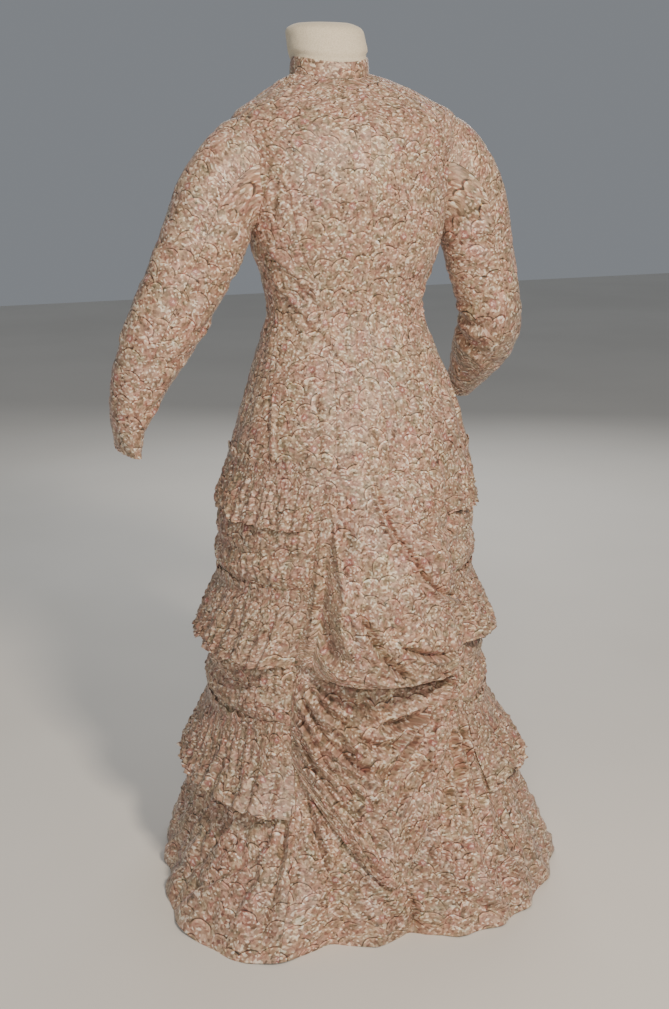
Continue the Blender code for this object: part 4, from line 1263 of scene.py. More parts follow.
RIGHT_SLEEVE_CREASES = (
    Crease(((150, 0.02), (110, 0.08), (60, 0.11)), -0.0044, 0.0090, 0.0030),
    Crease(((140, 0.09), (90, 0.15), (40, 0.17)), -0.0030, 0.0080, 0.0022),
    Crease(((50, 0.04), (30, 0.11), (15, 0.18)), 0.0024, 0.0120),
    Crease(((200, 0.24), (140, 0.25), (90, 0.24)), -0.0050, 0.0070, 0.0034),
    Crease(((200, 0.28), (150, 0.285), (100, 0.29)), -0.0050, 0.0065, 0.0034),
    Crease(((190, 0.32), (140, 0.33), (95, 0.335)), -0.0044, 0.0065, 0.0030),
    Crease(((90, 0.22), (50, 0.25), (10, 0.26)), -0.0024, 0.0080, 0.0020),
    Crease(((110, 0.33), (60, 0.36), (20, 0.37)), -0.0026, 0.0080, 0.0020),
    Crease(((-90, 0.26), (-50, 0.28), (-10, 0.29)), -0.0040, 0.0075, 0.0026),
    Crease(((-90, 0.31), (-55, 0.33), (-20, 0.33)), -0.0040, 0.0070, 0.0026),
    Crease(((150, 0.40), (100, 0.42), (50, 0.43)), -0.0022, 0.0070, 0.0016),
)


@dataclass(frozen=True)
class HemFold:
    """A fold that runs up from the hem: its angle there, rise, half width, lean and top."""
    angle: float
    rise: float
    half_width: float
    lean: float
    top: float


HEM_FOLDS = (
    HemFold(-172, 0.008, 6.0, 1, 0.20), HemFold(-158, 0.010, 5.0, -1, 0.21),
    HemFold(-144, 0.008, 6.0, 1, 0.19), HemFold(-129, 0.011, 5.5, 1, 0.22),
    HemFold(-114, 0.009, 5.0, -1, 0.20), HemFold(-99, 0.012, 5.5, 1, 0.22),
    HemFold(-84, 0.009, 5.0, 2, 0.20), HemFold(-69, 0.012, 5.0, 2, 0.23),
    HemFold(-54, 0.012, 4.5, 3, 0.24), HemFold(-40, 0.010, 4.0, 3, 0.24),
    HemFold(-25, 0.014, 3.4, 4, 0.42), HemFold(-15, 0.012, 3.0, 3, 0.42),
    HemFold(-5, 0.012, 3.0, 1, 0.36), HemFold(6, -0.014, 3.2, -2, 0.30),
    HemFold(15, 0.013, 3.4, -3, 0.34), HemFold(25, -0.014, 3.6, -6, 0.42),
    HemFold(36, 0.012, 4.0, -3, 0.24), HemFold(49, -0.010, 4.5, 2, 0.24),
    HemFold(60, 0.012, 4.5, 2, 0.23), HemFold(75, 0.010, 5.0, -2, 0.22),
    HemFold(90, 0.012, 5.0, -1, 0.22), HemFold(105, 0.009, 5.5, 1, 0.20),
    HemFold(120, 0.011, 5.5, -1, 0.22), HemFold(135, 0.008, 6.0, 1, 0.19),
    HemFold(150, 0.010, 5.0, 1, 0.21), HemFold(165, 0.009, 6.0, -1, 0.20),
)


def hem_fold_lift(angle: np.ndarray, height: np.ndarray) -> np.ndarray:
    """How far the folds that run up from the hem lift the cloth.

    Args:
        angle: Degrees round the dress.
        height: Heights in metres.

    Returns:
        The lift in metres.
    """
    total = np.zeros(np.broadcast(angle, height).shape)
    for fold in HEM_FOLDS:
        share = np.clip(1 - height / fold.top, 0, 1)
        middle = fold.angle + fold.lean * height / fold.top
        turn = (angle - middle + 180) % 360 - 180
        away = turn / (fold.half_width * (0.6 + 0.4 * share))
        total += fold.rise * share ** 0.8 * np.exp(-away * away)
    return total


def gathers(x: np.ndarray, height: np.ndarray, pitch: float, seed: int) -> np.ndarray:
    """Fine gathers with round ridges and narrow valleys, uneven in width.

    Args:
        x: Metres across the cloth.
        height: Heights in metres.
        pitch: The usual width of a gather.
        seed: Of the unevenness.

    Returns:
        Values from 0 in the valleys to 1 on the ridges.
    """
    noise = SoftNoise(seed)
    phase = x / pitch + 0.6 * noise.at(x / ROUND_CELL + seed, height / 0.045 + seed)
    tall = 0.72 + 0.28 * noise.at(x / ROUND_CELL + 3, height / 0.06)
    return np.abs(np.sin(math.pi * phase)) ** 0.8 * tall


@dataclass
class Skirt:
    """The shirred skirt, its plain border and the train behind them."""
    cloth: bpy.types.Material
    top: float = 0.742
    border_top: float = 0.2995
    train_top: float = 0.438
    hem: float = 0.0006
    under_drape: float = 3.1
    pitch: float = 0.0145
    puffs: tuple[tuple[float, float], ...] = (
        (0.622, 0.676), (0.570, 0.622), (0.384, 0.438), (0.334, 0.384))
    puff_stand: float = 0.008
    flounce_bottom: float = 0.192
    ruche: float = 0.0044
    crumples: tuple[Crumple, ...] = (
        Crumple(51, ROUND_CELL, 0.046, 0.0082, (5, 2)),
        Crumple(52, ROUND_CELL, 0.038, -0.0040, (9, 4)),
        Crumple(53, ROUND_CELL / 2, 0.017, 0.0034, (5, 0)))
    # Long folds of the train and the border, by angle and height
    creases: tuple[Crease, ...] = (
        Crease(((38, 0.330), (38, 0.240), (33, 0.170), (26, 0.070)), -0.0110, 0.0078, 0.0080),
        Crease(((43, 0.300), (43, 0.200), (42, 0.110), (41, 0.020)), -0.0080, 0.0062, 0.0060),
        Crease(((47, 0.180), (50, 0.140), (57, 0.088), (66, 0.035)), -0.0090, 0.0070, 0.0060),
        Crease(((45, 0.120), (47, 0.070), (50, 0.010)), 0.0070, 0.0086),
        Crease(((-15, 0.300), (-15, 0.250), (-6, 0.150), (-2, 0.090)), -0.0080, 0.0055, 0.0060),
        Crease(((-22, 0.330), (-20, 0.240), (-14, 0.160), (-10, 0.110)), -0.0080, 0.0047, 0.0070),
        Crease(((-28, 0.330), (-27, 0.230), (-20, 0.130)), -0.0080, 0.0051, 0.0060),
        Crease(((-33, 0.260), (-32, 0.170), (-29, 0.070)), -0.0070, 0.0062, 0.0055),
        Crease(((-2, 0.085), (-9, 0.055), (-17, 0.010)), -0.0090, 0.0059, 0.0065),
        Crease(((-20, 0.100), (-25, 0.060), (-30, 0.030)), -0.0070, 0.0062, 0.0050),
        Crease(((22, 0.110), (14, 0.070), (8, 0.020)), -0.0080, 0.0066, 0.0060),
        Crease(((6, 0.075), (5, 0.040), (5, 0.004)), -0.0100, 0.0047, 0.0050),
        Crease(((30, 0.080), (33, 0.045), (36, 0.006)), 0.0060, 0.0094),
        Crease(((60, 0.200), (66, 0.130), (70, 0.050)), -0.0070, 0.0078, 0.0040),
        Crease(((78, 0.180), (82, 0.110), (86, 0.030)), -0.0060, 0.0078, 0.0040),
        Crease(((-50, 0.190), (-54, 0.120), (-60, 0.040)), -0.0070, 0.0078, 0.0045),
        Crease(((-70, 0.180), (-76, 0.110), (-80, 0.030)), -0.0060, 0.0078, 0.0040),
    )

    def round_front(self, height: np.ndarray, count: int) -> np.ndarray:
        """Angles round the front from one drape edge to the other, at each height."""
        shift = seam_shift(height)
        start = drape_edge(Side.LEFT, height) + shift
        end = 360 - drape_edge(Side.RIGHT, height) - shift
        return start + (end - start) * np.linspace(0, 1, count)[None, :]

    def clear_of_drapery(self, angle: np.ndarray, height: np.ndarray) -> np.ndarray:
        """From 0 under the edges of the back drapery to 1 beside them."""
        left = angle - drape_edge(Side.LEFT, height)
        right = 360 - drape_edge(Side.RIGHT, height) - angle
        return np.clip((np.minimum(left, right) - self.under_drape * 0.55) / 1.6, 0, 1)

    def shirred_lift(self, angle: np.ndarray, height: np.ndarray) -> np.ndarray:
        """How far the puffs and their gathers lift the skirt."""
        x = angle * METRES_PER_DEGREE
        lift = np.zeros(np.broadcast(angle, height).shape)
        for index, (bottom, top) in enumerate(self.puffs):
            share = np.clip((height - bottom) / (top - bottom), 0, 1)
            belly = np.sin(math.pi * share) ** 0.8
            halves = np.sin(math.pi * share) ** 0.3
            ridges = gathers(x, height, self.pitch, 31 + index)
            inside = (share > 0) & (share < 1)
            lift += self.puff_stand * belly * 0.55 + self.ruche * halves * ridges * inside
            lift += 0.0052 * halves * SoftNoise(41).creased(x / 0.0115, height / 0.017) * inside
        return lift * self.clear_of_drapery(angle, height)

    def folded_lift(self, angle: np.ndarray, height: np.ndarray) -> np.ndarray:
        """How far the folds of the border and the train lift them."""
        near = (angle + 180) % 360 - 180
        x = near * METRES_PER_DEGREE
        hand = lift_of(self.creases, near, height, (METRES_PER_DEGREE * 1.6, 1.0))
        rumple = crumpled(self.crumples, x, height)
        top = np.clip((height - 0.10) / 0.16, 0, 1)
        pleated = gathers(x, height, 0.75 * ROUND_CELL, 57) * 0.0050 * top
        held = np.clip(height / 0.014, 0.2, 1)
        across = near / (np.where(near > 0, drape_edge(Side.LEFT, height),
                                  drape_edge(Side.RIGHT, height)) + 1.0)
        covered = np.clip((height - SWAG_BOTTOM.at(across)) / 0.015 + 1, 0, 1)
        covered = covered * np.clip((1.04 - np.abs(across)) / 0.06, 0, 1)
        beneath = np.clip((height - self.flounce_bottom) / 0.012, 0, 1)
        beside = np.clip((np.abs(across) - 0.95) / 0.05, 0, 1)
        covered = np.maximum(covered, 0.92 * beneath * beside)
        shown = (1.35 * hand + rumple + pleated - 0.0030) * held
        return hem_fold_lift(angle, height) + shown * (1 - covered) - 0.0010 * covered * held

    def build(self) -> None:
        """Make the three pieces."""
        rows = spaced(self.top, 0.30, 0.0042)[:, None]
        angle = self.round_front(rows, 430)
        outer = SHAPE.lifted(angle, rows, self.shirred_lift(angle, rows))
        shirred = ClothShell("skirt_shirred_cloth", outer, Winding.PLAIN, Grain.GATHERED)
        rows = np.concatenate([spaced(self.border_top, 0.03, 0.006),
                               spaced(0.026, self.hem, 0.004)])[:, None]
        angle = self.round_front(rows, 380)
        outer = SHAPE.lifted(angle, rows, self.folded_lift(angle, rows))
        border = ClothShell("skirt_border_cloth", outer, Winding.PLAIN, Grain.GATHERED)
        rows = np.concatenate([spaced(self.train_top, 0.03, 0.0045),
                               spaced(0.026, self.hem, 0.004)])[:, None]
        shift = seam_shift(rows)
        start = shift - drape_edge(Side.RIGHT, rows)
        end = drape_edge(Side.LEFT, rows) - shift
        angle = start + (end - start) * np.linspace(0, 1, 130)[None, :]
        outer = SHAPE.lifted(angle, rows, self.folded_lift(angle, rows))
        train = ClothShell("train_cloth", outer, Winding.PLAIN, Grain.GATHERED)
        for shell, node, held in ((shirred, "skirt_shirred", Hold.GATHERED),
                                  (border, "skirt_border", Hold.GATHERED),
                                  (train, "train", Hold.DRAPED)):
            shell.outer = shell.outer[::-1]
            shell.outer[..., 2] = np.maximum(shell.outer[..., 2], self.hem * 0.5)
            piece = wear(shell.build(self.cloth), Slot.PRINT, node)


@dataclass
class Flounce:
    """A gathered flounce with a small ruffled heading above its line of stitches."""
    cloth: bpy.types.Material
    name: str
    heading: float
    gather: float
    bottom: float
    flare: float
    wave: float
    seed: int
    waves: int = 34
    setback: float = 1.1
    seam_setback: float = 0.3
    swag_ends: float = 0.262
    ease: float = 0.04
    heading_stand: float = 0.0038
    heading_wave: float = 0.0040
    ragged_edge: float = 0.0040
    frilled_top: float = 0.0056
    gather_depth: float = 0.0056
    crumple_depth: float = 0.0074
    pitch: float = 0.0125
    across: int = 620
    down: int = 20
    up: int = 5

    def outer_points(self) -> np.ndarray:
        """The grid of outer points, from the bottom edge up to the heading's top."""
        share = np.linspace(0, 1, self.across)[None, :]
        level = np.concatenate([np.linspace(1, 0, self.down), -np.linspace(0, 1, self.up)[1:]])
        level = level[:, None]
        below, above = np.clip(level, 0, 1), np.clip(-level, 0, 1)
        ragged = SoftNoise(self.seed).at(share * 110, level * 0 + 2) * self.ragged_edge
        frill = SoftNoise(self.seed + 6).at(share * 118, level * 0 + 5) * self.frilled_top
        sag = (0.004 * np.sin(17.0 * share) + ragged) * below ** 2 + frill * above
        height = (self.gather + (self.bottom - self.gather) * below
                  + (self.heading - self.gather) * above - sag)
        beside_swag = np.clip((height - self.swag_ends) / 0.012, 0, 1)
        setback = self.seam_setback + (self.setback - self.seam_setback) * beside_swag
        start = drape_edge(Side.LEFT, height) + setback
        end = 360 - drape_edge(Side.RIGHT, height) - setback
        angle = start + (end - start) * share
        near_end = np.clip(np.minimum(share, 1 - share) / self.ease + 0.02, 0, 1)
        uneven = 1 + 0.3 * np.sin(11.3 * share + 2.1) * np.sin(29.0 * share)
        drift = 0.55 * SoftNoise(self.seed + 1).at(share * 30, level * 1.2 + 1)
        coarse = np.sin(2 * math.pi * (share * self.waves + drift))
        x = share * (end - start) * METRES_PER_DEGREE
        fine = gathers(x, height, self.pitch, self.seed + 2) - 0.5
        swing = self.wave * uneven * coarse * 0.6 * below ** 0.8
        swing += self.gather_depth * fine * (0.35 + 0.65 * below ** 0.5) * (below > 0)
        crumple = SoftNoise(self.seed + 4).creased(x / 0.0115, height / 0.018) - 0.4
        swing += self.crumple_depth * crumple * below ** 0.4
        ruffle = gathers(x, height, self.pitch * 1.3, self.seed + 3) - 0.5
        swing += (self.heading_wave * 2.4 * ruffle) * above ** 0.8
        stand = (self.flare - OVER) * below ** 0.9 + (self.heading_stand - OVER) * above
        lift = OVER + (stand + np.maximum(swing, -stand * 0.8)) * near_end
        return SHAPE.lifted(angle, height, np.maximum(lift, OVER * 0.9))

    def build(self) -> None:
        """Make the flounce."""
        shell = ClothShell(f"{self.name}_cloth", self.outer_points(), Winding.PLAIN, Grain.GATHERED)
        piece = wear(shell.build(self.cloth), Slot.SHIRRED, self.name)


@dataclass
class Drapery:
    """The pouf and the swag that lie on the back of the skirt.

    Creases are by place across, from -1 at the right to 1 at the left, and place down.
    """
    cloth: bpy.types.Material
    pouf_seat: float = 0.0009
    swag_seat: float = 0.0024
    pouf_scale: tuple[float, float] = (0.140, 0.38)
    swag_scale: tuple[float, float] = (0.165, 0.32)
    pouf_crumples: tuple[Crumple, ...] = (
        Crumple(61, 0.034, 0.042, 0.0080, (4, 4)), Crumple(62, 0.028, 0.034, -0.0050, (8, 6)),
        Crumple(63, 0.013, 0.017, 0.0026, (4, 4)))
    swag_crumples: tuple[Crumple, ...] = (
        Crumple(71, 0.036, 0.028, 0.0080, (4, 4)), Crumple(72, 0.030, 0.026, -0.0046, (8, 6)),
        Crumple(73, 0.014, 0.012, 0.0026, (4, 4)))
    pouf_height: Curve = curve_of(
        (0.00, 0.766), (0.12, 0.712), (0.30, 0.635), (0.50, 0.545), (0.68, 0.466),
        (0.80, 0.424), (0.88, 0.408), (0.94, 0.404), (1.00, 0.401))
    pouf_edge: Curve = curve_of(
        (0.00, 0.766), (0.12, 0.714), (0.30, 0.650), (0.50, 0.575), (0.68, 0.515),
        (0.80, 0.480), (0.88, 0.462), (0.94, 0.450), (1.00, 0.440))
    pouf_stand: Curve = curve_of(
        (0.00, 0.000), (0.12, 0.010), (0.30, 0.034), (0.50, 0.058), (0.68, 0.072),
        (0.80, 0.071), (0.88, 0.064), (0.94, 0.054), (1.00, 0.045))
    pouf_tuck: Curve = curve_of(
        (0.00, 0.0), (0.80, 0.0), (0.88, 0.002), (0.94, 0.010), (1.00, 0.028))
    swag_top: Curve = curve_of(
        (-1.00, 0.425), (-0.60, 0.440), (-0.30, 0.448), (0.00, 0.450), (0.26, 0.448),
        (0.60, 0.440), (1.00, 0.425))
    pouf_creases: tuple[Crease, ...] = (
        Crease(((0.24, 0.03), (0.06, 0.20), (-0.14, 0.31), (-0.26, 0.40), (-0.50, 0.48),
                (-0.86, 0.55)), -0.0120, 0.0036, 0.0085, 0.10),
        Crease(((0.10, 0.00), (-0.10, 0.16), (-0.32, 0.28), (-0.70, 0.38)), 0.0110, 0.0109),
        Crease(((0.86, 0.10), (0.76, 0.24), (0.70, 0.34), (0.60, 0.44), (0.62, 0.57),
                (0.50, 0.68)), 0.0078, 0.0044),
        Crease(((0.97, 0.08), (0.94, 0.32), (0.93, 0.56), (0.90, 0.74)), 0.0060, 0.0027),
        Crease(((0.90, 0.22), (0.84, 0.40), (0.80, 0.55), (0.74, 0.72)), -0.0060, 0.0080),
        Crease(((0.78, 0.56), (0.68, 0.66), (0.62, 0.76)), -0.0240, 0.0110),
        Crease(((0.44, 0.50), (0.30, 0.62), (0.14, 0.73), (-0.02, 0.82)), -0.0140, 0.0047, 0.0090),
        Crease(((0.10, 0.64), (-0.17, 0.70), (-0.50, 0.73)), -0.0130, 0.0047, 0.0080),
        Crease(((-0.33, 0.20), (-0.60, 0.24), (-0.92, 0.26)), -0.0080, 0.0062, 0.0060),
        Crease(((-0.44, 0.22), (-0.44, 0.32), (-0.38, 0.42)), -0.0080, 0.0055, 0.0060),
        Crease(((-0.62, 0.28), (-0.62, 0.36), (-0.70, 0.44)), -0.0070, 0.0055, 0.0055),
        Crease(((-0.80, 0.50), (-0.72, 0.60), (-0.76, 0.72)), 0.0070, 0.0062),
        Crease(((-0.62, 0.60), (-0.58, 0.72), (-0.60, 0.86)), -0.0090, 0.0055, 0.0060),
        Crease(((0.30, 0.30), (0.20, 0.45), (0.24, 0.56)), 0.0050, 0.0109),
        Crease(((-0.05, 0.44), (-0.20, 0.52), (-0.28, 0.62)), -0.0060, 0.0070, 0.0040),
        Crease(((0.46, 0.14), (0.36, 0.26), (0.36, 0.38)), -0.0050, 0.0078, 0.0040),
        Crease(((0.62, 0.06), (0.58, 0.18), (0.62, 0.30)), -0.0050, 0.0062, 0.0035),
        Crease(((-0.20, 0.78), (-0.36, 0.84), (-0.52, 0.86)), -0.0080, 0.0062, 0.0050),
        Crease(((0.30, 0.78), (0.14, 0.86), (-0.06, 0.88)), 0.0060, 0.0070),
    )
    swag_creases: tuple[Crease, ...] = (
        Crease(((0.98, 0.02), (0.78, 0.12), (0.57, 0.20), (0.30, 0.24), (0.00, 0.30)),
               -0.0120, 0.0059, 0.0080, 0.12),
        Crease(((0.97, 0.08), (0.63, 0.28), (0.37, 0.37), (0.10, 0.44), (-0.25, 0.42)),
               -0.0130, 0.0062, 0.0090, 0.12),
        Crease(((0.97, 0.18), (0.67, 0.44), (0.47, 0.51), (0.17, 0.55), (-0.20, 0.50)),
               -0.0110, 0.0062, 0.0080, 0.12),
        Crease(((0.90, 0.40), (0.67, 0.62), (0.50, 0.68), (0.27, 0.66), (0.00, 0.70)),
               -0.0100, 0.0062, 0.0070, 0.14),
        Crease(((0.88, 0.62), (0.70, 0.78), (0.52, 0.86), (0.34, 0.86)), -0.0090, 0.0062, 0.0060),
        Crease(((0.18, 0.31), (0.06, 0.37), (-0.12, 0.42)), -0.0280, 0.0060, 0.0100, 0.18),
        Crease(((-0.62, 0.20), (-0.50, 0.50), (-0.24, 0.62), (-0.10, 0.80)), 0.0090, 0.0070),
        Crease(((-0.72, 0.10), (-0.62, 0.45), (-0.44, 0.70)), -0.0100, 0.0055, 0.0070),
        Crease(((-0.40, 0.30), (-0.16, 0.56), (0.10, 0.60)), -0.0090, 0.0062, 0.0070),
        Crease(((-0.30, 0.70), (-0.06, 0.78), (0.16, 0.78)), -0.0080, 0.0062, 0.0060),
        Crease(((0.60, 0.32), (0.30, 0.48), (-0.05, 0.50)), 0.0060, 0.0062),
        Crease(((-0.86, 0.20), (-0.82, 0.50), (-0.70, 0.80)), -0.0080, 0.0055, 0.0060),
    )

    def pouf(self) -> np.ndarray:
        """The grid of the pouf's outer points, from its top down."""
        across = np.linspace(-1, 1, 135)[None, :]
        down = np.linspace(0, 1, 150)[:, None]
        reach = np.where(across > 0, 0.80, 0.96)
        free = 1 - np.clip(np.abs(across) / reach, 0, 1) ** 2.8
        middle, edge = self.pouf_height.at(down), self.pouf_edge.at(down)
        tuck = self.pouf_tuck.at(down) * free ** 2
        height = edge + (middle - edge) * free ** 0.6 + tuck
        stand = self.pouf_stand.at(down) - 0.4 * tuck
        near_edge = np.clip((1 - np.abs(across)) / 0.12, 0, 1)
        hand = lift_of(self.pouf_creases, across, down, self.pouf_scale)
        rumple = crumpled(self.pouf_crumples, across * self.pouf_scale[0],
                          down * self.pouf_scale[1])
        fall = np.clip(1 - (down - 0.86) / 0.14, 0.25, 1)
        eased = 0.011 * (1 - np.exp(-down / 0.06)) * np.clip(near_edge, 0, 1)
        folds = (1.7 * hand * down ** 0.25 + rumple * down ** 0.35 - 0.0024) * near_edge * fall
        lift = stand * free + eased + folds
        side = np.where(across > 0, drape_edge(Side.LEFT, height), drape_edge(Side.RIGHT, height))
        seat = self.pouf_seat + CLOTH
        return SHAPE.lifted(across * (side + 1.0), height, seat + np.maximum(lift, 0.0))

    def swag(self) -> np.ndarray:
        """The grid of the swag's outer points, from its top down."""
        across = np.linspace(-1, 1, 135)[None, :]
        down = np.linspace(0, 1, 135)[:, None]
        top, bottom = self.swag_top.at(across), SWAG_BOTTOM.at(across)
        height = top + (bottom - top) * down
        narrow = 0.86 + 0.14 * np.clip(down / 0.25, 0, 1)
        side = np.where(across > 0, drape_edge(Side.LEFT, height), drape_edge(Side.RIGHT, height))
        angle = across * (side + 1.0) * narrow
        free = np.clip(1 - np.abs(across) ** 3, 0, 1)
        belly = 0.034 * np.sin(math.pi * down ** 1.2) ** 0.8
        waves = 0.009 * np.sin(2 * math.pi * (3.4 * down + 0.35 * across ** 2))
        waves = waves * np.clip(down * 4, 0, 1) * 0.35
        free = free * (1 - 0.55 * np.clip(-across - 0.35, 0, 0.5) / 0.5)
        lift = belly * free + np.maximum(waves, -0.6 * belly) * free + 0.006 * free * down
        hand = lift_of(self.swag_creases, across, down, self.swag_scale)
        rumple = crumpled(self.swag_crumples, across * self.swag_scale[0],
                          down * self.swag_scale[1])
        near_edge = np.clip((1 - np.abs(across)) / 0.16, 0, 1) * np.clip(down / 0.06, 0, 1)
        fall = np.clip((1 - down) / 0.05, 0.4 - 0.25 * np.clip(-across - 0.4, 0, 0.6) / 0.6, 1)
        lift = lift + (1.35 * hand + rumple - 0.0020) * near_edge * fall
        seat = self.swag_seat + CLOTH + hem_fold_lift(angle, height)
        return SHAPE.lifted(angle, height, seat + np.maximum(lift, 0.0))

    def build(self) -> None:
        """Make both pieces."""
        for name, points, rests_on in (("drape_pouf", self.pouf(), "back_left_cloth"),
                                       ("drape_swag", self.swag(), "train_cloth")):
            shell = ClothShell(f"{name}_cloth", points, Winding.REVERSED, Grain.FALLING)
            piece = wear(shell.build(self.cloth), Slot.PRINT, name)


def ring_mesh(name: str, rings: np.ndarray, material: bpy.types.Material) -> bpy.types.Object:
    """Make a closed solid from rings of points, with a flat face at each end.

    Args:
        name: The object's name.
        rings: Rings, points and X, Y and Z, from the bottom up and anticlockwise from above.
        material: Its finish.

    Returns:
        The object.
    """
    levels, count = rings.shape[:2]
    faces = []
    for level in range(levels - 1):
        for i in range(count):
            k = (i + 1) % count
            low, high = level * count, (level + 1) * count
            faces.append((low + i, low + k, high + k, high + i))
    faces.append(tuple(range(count))[::-1])
    faces.append(tuple(range((levels - 1) * count, levels * count)))
    mesh = bpy.data.meshes.new(name)
    mesh.from_pydata(rings.reshape(-1, 3).tolist(), [], faces)
    mesh.materials.append(material)
    mesh.shade_smooth()
    mesh.set_sharp_from_angle(angle=SMOOTH_UNDER)
    item = bpy.data.objects.new(name, mesh)
    bpy.context.scene.collection.objects.link(item)
    return item


@dataclass
class DressForm:
    """The limbless dress form under the dress: a padded torso, a post and a foot."""
    cover: bpy.types.Material
    metal: bpy.types.Material
    neck: Neck = Neck()
    clear: float = 0.0048
    bottom: float = 0.80
    sides: int = 96
    seam_turn: float = 6.0

    def build(self) -> None:
        """Make the torso's cover and dress the post and the foot."""
        turn = (180 - 360 * np.arange(self.sides) / self.sides)[None, :]
        heights = spaced(self.bottom, 1.405, 0.011)[:, None]
        body = SHAPE.lifted(turn, heights, -self.clear * np.ones_like(heights * turn))
        body[0, :, 2] = self.bottom
        profile = curve_of((-0.004, 0.0032), (0.0045, 0.0024), (0.027, 0.0022), (0.031, 0.0022),
                           (0.040, -0.0030), (0.070, -0.0040), (0.076, -0.0010),
                           (0.081, 0.0070), (0.0845, 0.0180), (0.0855, 0.0300))
        up = np.concatenate([spaced(-0.004, 0.031, 0.0045), spaced(0.034, 0.074, 0.004),
                             [0.076, 0.0785, 0.081, 0.083, 0.0845, 0.0852, 0.0855]])[:, None]
        seam = (turn + 180 - self.seam_turn) % 360 - 180
        dart = 0.0009 * np.exp(-(seam / 2.2) ** 2) * (up > 0.031)
        wrinkle = SoftNoise(81).creased(turn / 26 + 4, up / 0.02 + 3) * 0.0006 * (up > 0.034)
        collar = self.neck.point(turn, up, profile.at(up) + dart - wrinkle)
        rings = np.concatenate([body, collar])
        torso = ring_mesh("form_torso_cover", rings, self.cover)
        wear(torso, Slot.FORM, "form_torso")
        for node in ("form_post", "form_foot"):
            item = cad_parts[node]
            item.data.materials.clear()
            item.data.materials.append(self.metal)


@dataclass
class ButtonRow:
    """Twelve buttons down the front, instanced on their places by Geometry Nodes."""
    finish: bpy.types.Material
    count: int = 12
    top: float = 1.352
    bottom: float = 0.815
    radius: float = 0.006
    setback: float = 0.0085
    rise: float = 0.0016

    def places(self) -> tuple[np.ndarray, np.ndarray]:
        """The buttons' middles and the directions that they face."""
        height = np.linspace(self.top, self.bottom, self.count)
        angle = -180 + np.degrees(self.setback / SHAPE.half_width.at(height))
        facing = SHAPE.normal(angle, height)
        return SHAPE.lifted(angle, height, np.full(height.shape, self.rise)), facing

    def button_mesh(self) -> bpy.types.Object:
        """Make one turned button: a rim, a dished face and a rounded back."""
        profile = ((0.55, -0.0012), (0.92, -0.0008), (1.00, 0.0000), (0.97, 0.0009),
                   (0.86, 0.0013), (0.74, 0.0009), (0.40, 0.0004), (0.12, 0.0004))
        turn = np.radians(360 * np.arange(28) / 28)
        rings = np.array([[(self.radius * r * math.cos(t), self.radius * r * math.sin(t), z)
                           for t in turn] for r, z in profile])
        item = ring_mesh("button_pattern", rings, self.finish)
        item.hide_render = True
        return item

    def build(self) -> None:
        """Make the row as one piece."""
        pattern = self.button_mesh()
        middles, facing = self.places()
        mesh = bpy.data.meshes.new("front_buttons")
        mesh.from_pydata(middles.tolist(), [], [])
        layer = mesh.attributes.new("facing", "FLOAT_VECTOR", "POINT")
        layer.data.foreach_set("vector", facing.ravel().astype(np.float32))
        item = bpy.data.objects.new("front_buttons", mesh)
        bpy.context.scene.collection.objects.link(item)
        tree = bpy.data.node_groups.new("set_buttons", "GeometryNodeTree")
        tree.interface.new_socket("Geometry", in_out="INPUT", socket_type="NodeSocketGeometry")
        button = tree.interface.new_socket("Button", in_out="INPUT",
                                           socket_type="NodeSocketObject")
        tree.interface.new_socket("Geometry", in_out="OUTPUT", socket_type="NodeSocketGeometry")
        start = add_node(tree, "NodeGroupInput")
        facing_of = add_node(tree, "GeometryNodeInputNamedAttribute", {"Name": "facing"},
                             data_type="FLOAT_VECTOR")
        aim = add_node(tree, "FunctionNodeAlignRotationToVector",
                       {"Vector": facing_of.outputs["Attribute"]}, axis="Z")
        shape = add_node(tree, "GeometryNodeObjectInfo", {"Object": start.outputs["Button"]})
        points = add_node(tree, "GeometryNodeMeshToPoints", {"Mesh": start.outputs["Geometry"]})
        set_on = add_node(tree, "GeometryNodeInstanceOnPoints",
                          {"Points": points.outputs[0], "Instance": shape.outputs["Geometry"],
                           "Rotation": aim.outputs[0]})
        real = add_node(tree, "GeometryNodeRealizeInstances", {0: set_on.outputs[0]})
        dressed = add_node(tree, "GeometryNodeSetMaterial",
                           {"Geometry": real.outputs[0], "Material": self.finish})
        add_node(tree, "NodeGroupOutput", {0: dressed.outputs[0]})
        modifier = item.modifiers.new("buttons", "NODES")
        modifier.node_group = tree
        modifier[button.identifier] = pattern
        applied(item)
        bpy.data.objects.remove(pattern, do_unlink=True)
        nodes = [f"button_{number:02d}" for number in range(1, self.count + 1)]
        wear(item, Slot.BUTTON, *nodes)


